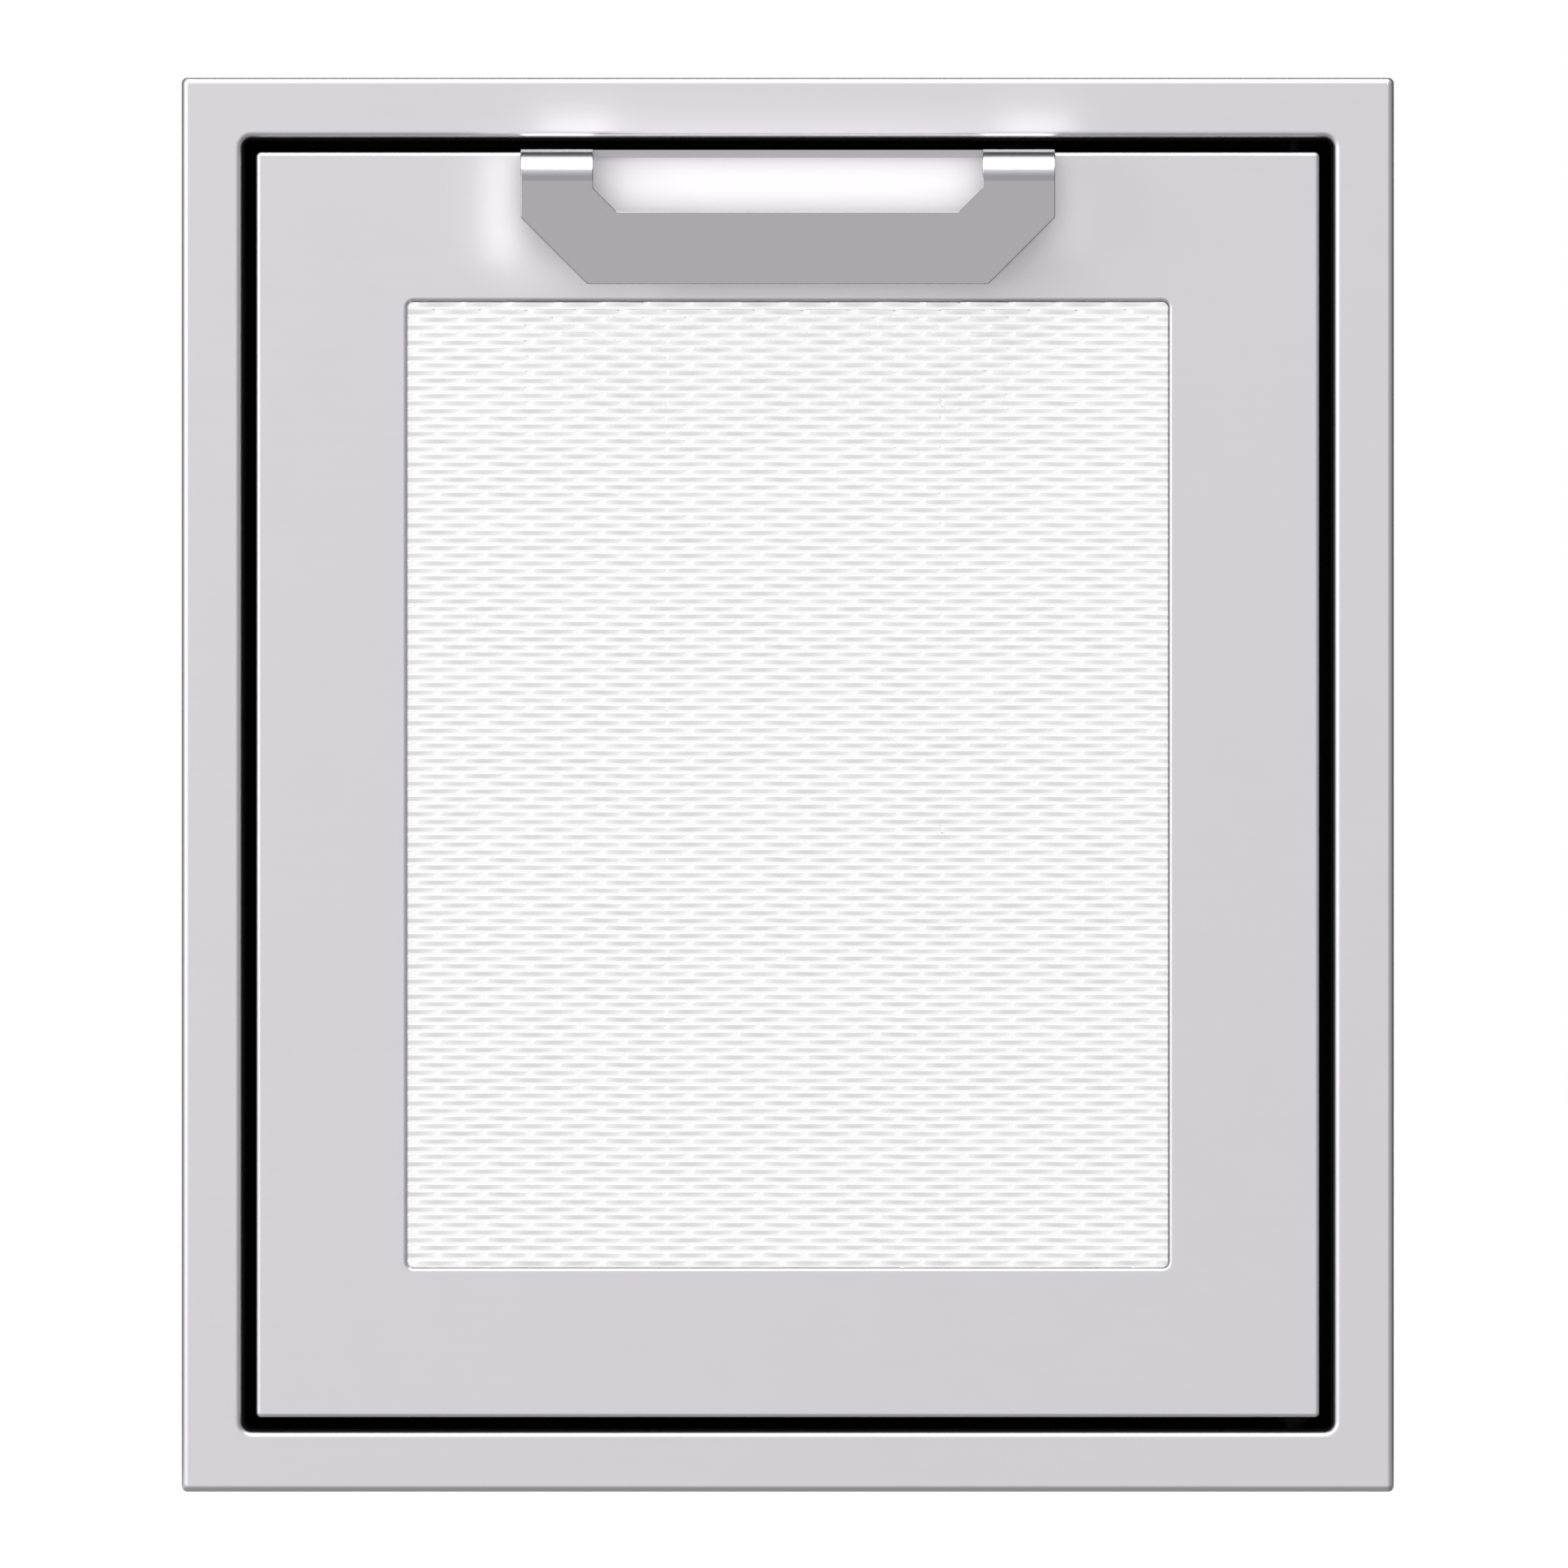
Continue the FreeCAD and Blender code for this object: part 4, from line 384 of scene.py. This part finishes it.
# name, colour, roughness, sheen, size of the texture, hollows in mm
MOULDED = (
    # black rubber and black plastic are darker than their own colour: painted shade, so the gap round the door
    # shows black
    ("black_rubber", (0.004, 0.004, 0.004), 0.85, 0.04, 900, 0.02),
    ("black_plastic", (0.004, 0.004, 0.004), 0.7, 0.04, 1500, 0.01),
    ("magnet_ceramic", (0.05, 0.05, 0.055), 0.6, 0.4, 700, 0.02),
)
for name, *numbers in MOULDED:
    finishes[name] = moulded(name, *numbers)
print("moulded finishes:", len(MOULDED))

# %% [markdown]
# ## Dressing the metalwork
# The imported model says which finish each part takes. The part's own mesh isn't touched: only
# the material in its slot changes.

# %% Finish on every part
wanted = {row["node"]: row["material_slot"] for row in frame["record"]["subparts"]}


def dress(piece, material):
    """Puts a material on a piece, in every slot that it has."""
    if not piece.material_slots:
        piece.data.materials.append(material)
    for slot in piece.material_slots:
        slot.material = material


for name, part in parts.items():
    dress(part, finishes[wanted[name]])
print("dressed parts:", len(parts))

# %% [markdown]
# ## The embossed sheet
# The panel in the door is bought as embossed sheet: rows of long low marks, and every other row set off by half a
# mark. Each mark rises from its lower edge to a straight ridge and drops back just above it, a little like a
# shingle upside down. A bump in the material would vanish at the edges, so the marks are real. The roller that
# embosses the sheet has six marks along it in each of two rows, and no two of the twelve are quite alike, so the
# same twelve come back all over the sheet, with a little chance in each.

# %% The roller's marks
ROW_PITCH = 2.869 * MM
MARK_PITCH = 17.31 * MM
MARK_LENGTH = 14.7 * MM
MARK_HEIGHT = 2.05 * MM
MARK_RISE = 0.407 * MM
FIRST_ROW = 9.72 * MM
FIRST_MARK = 6.3 * MM
FLAT_EDGE = 8 * MM
# each mark of the roller: shift in mm, length and tilt, for even rows and for odd rows
ROLLER = (
    (
        (-0.9, 1.13, 0.002),
        (-0.7, 1.05, -0.003),
        (-0.3, 1.05, -0.025),
        (0.2, 1.12, -0.006),
        (0.7, 1.01, -0.026),
        (0.2, 1.05, -0.013),
    ),
    (
        (-0.5, 0.97, -0.006),
        (-0.4, 1.08, -0.002),
        (-0.4, 1.07, 0.0),
        (0.5, 1.16, -0.009),
        (1.0, 1.02, 0.001),
        (0.6, 1.03, -0.017),
    ),
)

SEED = 5
SHIFT_CHANCE = 0.25
LENGTH_CHANCE = 0.03
TILT_CHANCE = 0.008
DROP_CHANCE = 0.08
RISE_CHANCE = 0.06

chance = random.Random(SEED)
sheet_low, sheet_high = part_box("textured_sheet")
sheet_rows = int((sheet_high.z - sheet_low.z - FIRST_ROW - FLAT_EDGE) / ROW_PITCH)
sheet_marks = math.ceil((sheet_high.x - sheet_low.x) / MARK_PITCH)


def about(middle, spread):
    """A number drawn by chance, at most the spread away from the middle."""
    return chance.uniform(middle - spread, middle + spread)


def pressed_mark(row, number):
    """One mark of the sheet: the roller's own, and a little chance."""
    roller_row = ROLLER[row % 2]
    shift, length, tilt = roller_row[number % len(roller_row)]
    return {
        "shift": (shift + about(0, SHIFT_CHANCE)) * MM,
        "length": length * about(1, LENGTH_CHANCE),
        "tilt": tilt + about(0, TILT_CHANCE),
        "drop": about(0, DROP_CHANCE) * MM,
        "rise": MARK_RISE * about(1, RISE_CHANCE),
    }


marks = [
    [pressed_mark(row, number) for number in range(sheet_marks)]
    for row in range(sheet_rows)
]
print("marks on the sheet:", sheet_rows * sheet_marks)

# %% [markdown]
# The surface of the sheet asks two things: which mark is nearest to a spot, and how far the
# sheet stands forward there. A mark keeps its full height nearly to its ends. The slope up
# to the ridge is a soft S in the middle of a mark, and near the ends it stays low for longer.

# %% The shape of one mark
BLUNT_END = 16
THIN_END = 12


def mark_at(x, row):
    """The mark of that row nearest to x, where its middle is, and how far x is from there."""
    start = sheet_low.x + FIRST_MARK + (0 if row % 2 else MARK_PITCH / 2)
    number = min(max(round((x - start) / MARK_PITCH), 0), sheet_marks - 1)
    middle = start + number * MARK_PITCH
    return marks[row][number], middle, x - middle


def raised(mark, along, share):
    """How far a point of a mark stands forward. The left end is blunter than the right one."""
    end = BLUNT_END if along < 0 else THIN_END
    fullness = max(0.0, 1 - abs(2 * along / MARK_LENGTH) ** end)
    return mark["rise"] * fullness * share ** (2 - fullness)


ridge = [raised(marks[0][0], share * MARK_LENGTH, 1) for share in (0, 0.25, 0.45, 0.5)]
print("one mark's ridge, from its middle to its right end:", [round(y / MM, 2) for y in ridge])

# %% [markdown]
# The points of the sheet come from a grid that stands upright. Its columns stand close
# together at the ends of the marks, where the sheet bends, and serve both kinds of rows,
# which are half a mark apart. Five lines follow each row: four up the slope to the ridge,
# and one close above it, where the sheet is flat again. Beyond the last marks one wide band
# runs to each edge, behind the skin of the door, where the clamps hold the sheet.

# %% Columns and lines of points
# columns to the right of the middle of a mark; half a mark further on they serve the ends
COLUMNS = (1.31 * MM, 2.36 * MM, 6.3 * MM, 7.35 * MM)
# each line of points: how far up the mark, and how much of its rise is reached there
LINES = ((0, 0), (0.25, 1 / 6), (0.75, 5 / 6), (1, 1), (1.06, 0))


def sheet_columns():
    """The x of every column."""
    left, right = sheet_low.x + FLAT_EDGE, sheet_high.x - FLAT_EDGE
    first = sheet_low.x + FIRST_MARK
    starts = [first + half * MARK_PITCH / 2 for half in range(2 * sheet_marks)]
    inside = [start + x for start in starts for x in COLUMNS if left < start + x < right]
    return [sheet_low.x, *inside, sheet_high.x]


def sheet_lines():
    """For every line its z, the row that it belongs to, and the share of the rise there."""
    lines = [(sheet_low.z, 0, 0)]
    for row in range(sheet_rows):
        foot = sheet_low.z + FIRST_ROW + row * ROW_PITCH
        lines += [(foot + up * MARK_HEIGHT, row, share) for up, share in LINES]
    return [*lines, (sheet_high.z, 0, 0)]


print("columns:", len(sheet_columns()), "lines:", len(sheet_lines()))

# %% [markdown]
# Each point of the grid moves to its place on the nearest mark. The edge of the grid is then
# drawn back by the sheet's thickness and closed, so that the piece is a solid sheet like the
# plain one that it stands for.

# %% The sheet
def press_marks(bm, columns, lines):
    """Moves the points of a grid of size 1 to their places on the marks."""
    land = sheet_low.y + MARK_RISE
    for vertex in bm.verts:
        x = columns[round((vertex.co.x + 0.5) * (len(columns) - 1))]
        z, row, share = lines[round((vertex.co.z + 0.5) * (len(lines) - 1))]
        if vertex.is_boundary:
            vertex.co = (x, land, z)
            continue
        mark, middle, along = mark_at(x, row)
        x = middle + mark["shift"] + along * mark["length"]
        z += mark["drop"] + along * mark["tilt"]
        vertex.co = (x, land - raised(mark, along, share), z)


def embossed_sheet():
    """The whole sheet, with its back and its edges."""
    columns, lines = sheet_columns(), sheet_lines()
    spans = {"x_segments": len(columns) - 1, "y_segments": len(lines) - 1}
    upright = Matrix.Rotation(math.radians(90), 4, "X")
    bm = bmesh.new()
    bmesh.ops.create_grid(bm, size=0.5, matrix=upright, **spans)
    press_marks(bm, columns, lines)
    rim = [edge for edge in bm.edges if edge.is_boundary]
    drawn = bmesh.ops.extrude_edge_only(bm, edges=rim)["geom"]
    for vertex in [item for item in drawn if isinstance(item, bmesh.types.BMVert)]:
        vertex.co.y = sheet_high.y
    back = [item for item in drawn if isinstance(item, bmesh.types.BMEdge)]
    bmesh.ops.edgeloop_fill(bm, edges=back)
    bmesh.ops.recalc_face_normals(bm, faces=bm.faces)
    return bm


def new_piece(name, bm, smooth_below=40):
    """Turns a bmesh into an object at the origin, smooth except at its sharp edges."""
    mesh = bpy.data.meshes.new(name)
    for edge in bm.edges:
        edge.smooth = edge.calc_face_angle(math.pi) < math.radians(smooth_below)
    for face in bm.faces:
        face.smooth = True
    bm.to_mesh(mesh)
    bm.free()
    piece = bpy.data.objects.new(name, mesh)
    bpy.context.scene.collection.objects.link(piece)
    print(name, "faces:", len(mesh.polygons))
    return piece


panel = new_piece("embossed_panel", embossed_sheet(), smooth_below=15)
dress(panel, finishes["embossed_sheet"])
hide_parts("textured_sheet")
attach(panel, "door")

# %% [markdown]
# ## The release spring
# The upper hinge pin is held up by a small compression spring. Its wire is a circle swept
# along a helix, which is what Spin does when each step also climbs. The end turns lie flat
# on their neighbours, as on a ground spring, and the turns between share the rest of the
# height.

# %% The spring
SPRING_WIRE = 1.0 * MM
SPRING_TURNS = 7
STEPS_PER_TURN = 24
WIRE_SIDES = 12
END_TURN_CLIMB = 1.02 * SPRING_WIRE
spring_low, spring_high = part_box("pin_spring")
spring_axis = (spring_low + spring_high) / 2
spring_height = spring_high.z - spring_low.z
spring_radius = (spring_high.x - spring_low.x - SPRING_WIRE) / 2


def wound_spring():
    """The wire's section, swept up from the foot: an end turn, the open turns, an end turn."""
    bm = bmesh.new()
    foot = Vector((spring_axis.x, spring_axis.y, spring_low.z))
    standing = Matrix.Rotation(math.radians(90), 4, "X")
    start = Matrix.Translation(foot + Vector((spring_radius, 0, SPRING_WIRE / 2))) @ standing
    bmesh.ops.create_circle(bm, segments=WIRE_SIDES, radius=SPRING_WIRE / 2, matrix=start)
    section = first_end = list(bm.edges)
    open_climb = spring_height - SPRING_WIRE - 2 * END_TURN_CLIMB
    end_turn, open_turns = (1, END_TURN_CLIMB), (SPRING_TURNS - 2, open_climb)
    for turns, rise in (end_turn, open_turns, end_turn):
        swept = bmesh.ops.spin(
            bm,
            geom=section,
            cent=foot,
            axis=(0, 0, 1),
            dvec=(0, 0, rise / (turns * STEPS_PER_TURN)),
            angle=turns * 2 * math.pi,
            steps=turns * STEPS_PER_TURN,
        )
        section = [item for item in swept["geom_last"] if isinstance(item, bmesh.types.BMEdge)]
    bmesh.ops.edgeloop_fill(bm, edges=first_end)
    bmesh.ops.edgeloop_fill(bm, edges=section)
    bmesh.ops.recalc_face_normals(bm, faces=bm.faces)
    return bm


spring = new_piece("release_spring", wound_spring(), smooth_below=60)
dress(spring, finishes["machined_steel"])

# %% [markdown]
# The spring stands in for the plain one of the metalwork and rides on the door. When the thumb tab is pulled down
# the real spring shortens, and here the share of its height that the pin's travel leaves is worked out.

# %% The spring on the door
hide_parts("pin_spring")
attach(spring, "door")
slide = next(joint for joint in frame["joints"] if joint["name"] == "release_pin_slide")
pressed = (spring_height - slide["range_m"][1]) / spring_height
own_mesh(spring)
print("spring keeps", round(pressed, 2), "of its height")

# %% [markdown]
# ## The studio
# The picture has a white ground and a soft light from above and from the left. The floor
# is pale, and for rays from the camera Light Path tells the material to glow, so that it
# shows white and no more light falls on the door. Reflections pass through the floor and
# show the room below it, because the real steel has a dark line along its lower bends.

# %% Floor
FLOOR_RADIUS = 30
FLOOR_LIFT = 0.65
floor_mesh = bpy.data.meshes.new("floor")
ground = Matrix.Translation((0, 0, low.z))
bm = bmesh.new()
bmesh.ops.create_circle(bm, cap_ends=True, segments=96, radius=FLOOR_RADIUS, matrix=ground)
bm.to_mesh(floor_mesh)
bm.free()
floor = bpy.data.objects.new("floor", floor_mesh)
bpy.context.scene.collection.objects.link(floor)
floor.visible_glossy = False
floor_material, floor_finish, floor_shader = metal("pale_floor", (0.6, 0.6, 0.6), metallic=0.0)
floor_shader.inputs["Roughness"].default_value = 0.9
floor_shader.inputs["Emission Color"].default_value = (1, 1, 1, 1)


def rays(finish, *kinds):
    """1 for rays of those kinds, and 0 for the others."""
    return sum(finish.add("ShaderNodeLightPath", out=kind) for kind in kinds)


seen = rays(floor_finish, "Is Camera Ray", "Is Glossy Ray", "Is Transmission Ray")
drive(floor_finish, floor_shader, Emission_Strength=seen * FLOOR_LIFT)
dress(floor, floor_material)
floor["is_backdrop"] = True
print("floor lies at:", round(low.z / MM, 1), "mm")

# %% [markdown]
# Bent steel shows its surroundings as lines, one along each bend, so the room isn't even:
# it darkens low down and to the right, as if dark cards stood there, and a little just above
# level, which draws the grey line under the bright band of the handle's ears. The camera
# sees it white, and steel sees it brighter than the light that it gives.

# %% Room
ROOM_LIGHT = 0.7
ROOM_SHEEN = 1.15
world = bpy.data.worlds.new("room")
bpy.context.scene.world = world
room = Finish(world)
direction = room.add("ShaderNodeTexCoord", out="Generated")


def wall(axis, pale_at, dark_at, dark):
    """The room's tone along one axis: white up to pale_at, falling to dark at dark_at."""
    return room.ramp(room.along(direction, axis), pale_at, dark_at, 1.0, dark)


LEVEL_SHADE = 0.3
shade_band = room.ramp(room.along(direction, "Z"), 0.03, 0.12) * wall("Z", 0.35, 0.5, 0.0)
tone = wall("Z", -0.16, -0.62, 0.35) * wall("X", 0.2, 0.75, 0.4)
tone = tone * (1 - LEVEL_SHADE * shade_band)
straight = rays(room, "Is Camera Ray", "Is Transmission Ray")
mirrored = rays(room, "Is Glossy Ray")
level = straight + (1 - straight) * tone * (ROOM_LIGHT + (ROOM_SHEEN - ROOM_LIGHT) * mirrored)
backdrop = room.add("ShaderNodeBackground", {}, {"Color": (1, 1, 1, 1), "Strength": level})
room.add("ShaderNodeOutputWorld", {}, {"Surface": backdrop})
print("room's light:", ROOM_LIGHT, "and as steel shows it:", ROOM_SHEEN)

# %% [markdown]
# Two large lamps, above and to the left, make the bright lines along the bends. The camera
# doesn't see them.

# %% Large lamps
def lamp(name, place, size, radiance, aim=None):
    """A soft rectangular lamp, as bright per area as radiance says, aimed at the door."""
    data = bpy.data.lights.new(name, "AREA")
    data.shape = "RECTANGLE"
    data.size, data.size_y = size
    data.energy = radiance * math.pi * size[0] * size[1]
    light = bpy.data.objects.new(name, data)
    light.location = place
    facing = Vector(aim or [-far for far in place])
    light.rotation_euler = facing.to_track_quat("-Z", "Z").to_euler()
    light.visible_camera = False
    bpy.context.scene.collection.objects.link(light)
    print(name, "power:", round(1000 * data.energy, 1), "mW")
    return light


lamp("lamp_above", place=(0, -0.75, 2.0), size=(1.6, 1.4), radiance=4.0)
lamp("lamp_left", place=(-1.7, -1.5, 0.5), size=(0.5, 1.4), radiance=5.0)

# %% [markdown]
# The polished ears of the handle throw patches of light on the trim and the door, which
# would take Blender very many rays to find, so small lamps beside the handle stand in for
# them. They ride on the door, as the patches would move with it. No two of them lie in one
# plane where they overlap, because there one would hide the other.

# %% Patches of light round the handle
ear_x = (handle_high.x - EAR_WIDTH / 2) / MM
left_x, right_x = handle_low.x / MM, handle_high.x / MM
# name, place across, behind the handle's front and above its top, width, height, all in mm,
# and how bright
PATCHES = (
    ("glow_in_opening", 4, 6, -14, 140, 18, 0.92),
    ("glow_under_grip", -78, 8, -46, 60, 14, 0.2),
    ("glow_over_strip", 0, 14, 8, 150, 8, 0.21),
    ("glow_over_left_ear", 6.5 - ear_x, 12, 8, 27, 8, 0.8),
    ("glow_over_right_ear", 6.5 + ear_x, 12, 8, 28, 8, 0.82),
    ("glow_beside_left_ear", left_x - 7.5, 12, -21, 12, 42, 0.72),
    ("glow_beside_right_ear", right_x + 6, 12, -22, 12, 34, 0.2),
)
for name, across, behind, above, width, height, radiance in PATCHES:
    spot = (across * MM, handle_low.y + behind * MM, handle_high.z + above * MM)
    glow = lamp(name, spot, (width * MM, height * MM), radiance, aim=(0, 1, 0))
    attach(glow, "door")

# %% [markdown]
# Dark cards behind the trim darken what its outer bends show on three sides. Only
# reflections see them.

# %% Dark cards
CARD_GAP = 12 * MM
CARD_WIDTH = 250 * MM
CARD_Y = 20 * MM


def dark_card(name, low_corner, high_corner):
    """An upright black card behind the trim, seen only as a reflection."""
    bm = bmesh.new()
    size = high_corner - low_corner
    upright = Matrix.Rotation(math.radians(90), 4, "X")
    scale = Matrix.Diagonal((size.x, 1, size.z, 1))
    spot = Matrix.Translation((low_corner + high_corner) / 2) @ scale @ upright
    bmesh.ops.create_grid(bm, x_segments=1, y_segments=1, size=0.5, matrix=spot)
    mesh = bpy.data.meshes.new(name)
    bm.to_mesh(mesh)
    bm.free()
    card = bpy.data.objects.new(name, mesh)
    bpy.context.scene.collection.objects.link(card)
    material, _, shader = metal(name, (0.02, 0.02, 0.02), metallic=0.0)
    shader.inputs["Roughness"].default_value = 0.9
    dress(card, material)
    card.visible_camera = False
    card.visible_diffuse = False
    card.visible_shadow = False
    card.visible_transmission = False
    card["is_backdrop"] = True


near_x, near_z = high.x + CARD_GAP, high.z + CARD_GAP
far_x, far_z = near_x + CARD_WIDTH, near_z + CARD_WIDTH
dark_card("card_top", Vector((-far_x, CARD_Y, near_z)), Vector((far_x, CARD_Y, far_z)))
dark_card("card_left", Vector((-far_x, CARD_Y, low.z)), Vector((-near_x, CARD_Y, near_z)))
dark_card("card_right", Vector((near_x, CARD_Y, low.z)), Vector((far_x, CARD_Y, near_z)))
print("each card stands", round(CARD_GAP / MM), "mm outside the trim")

# %% [markdown]
# ## Sizes and the end
# The finished object has to stay the size of the metalwork, so both boxes are measured and compared, and how far
# their corners moved is printed.

# %% Compare the boxes and finish
dressed_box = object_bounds()
growth = [(b - a).length for a, b in zip(metal_box, dressed_box)]
print("corners moved by, in mm:", [round(1000 * g, 2) for g in growth])
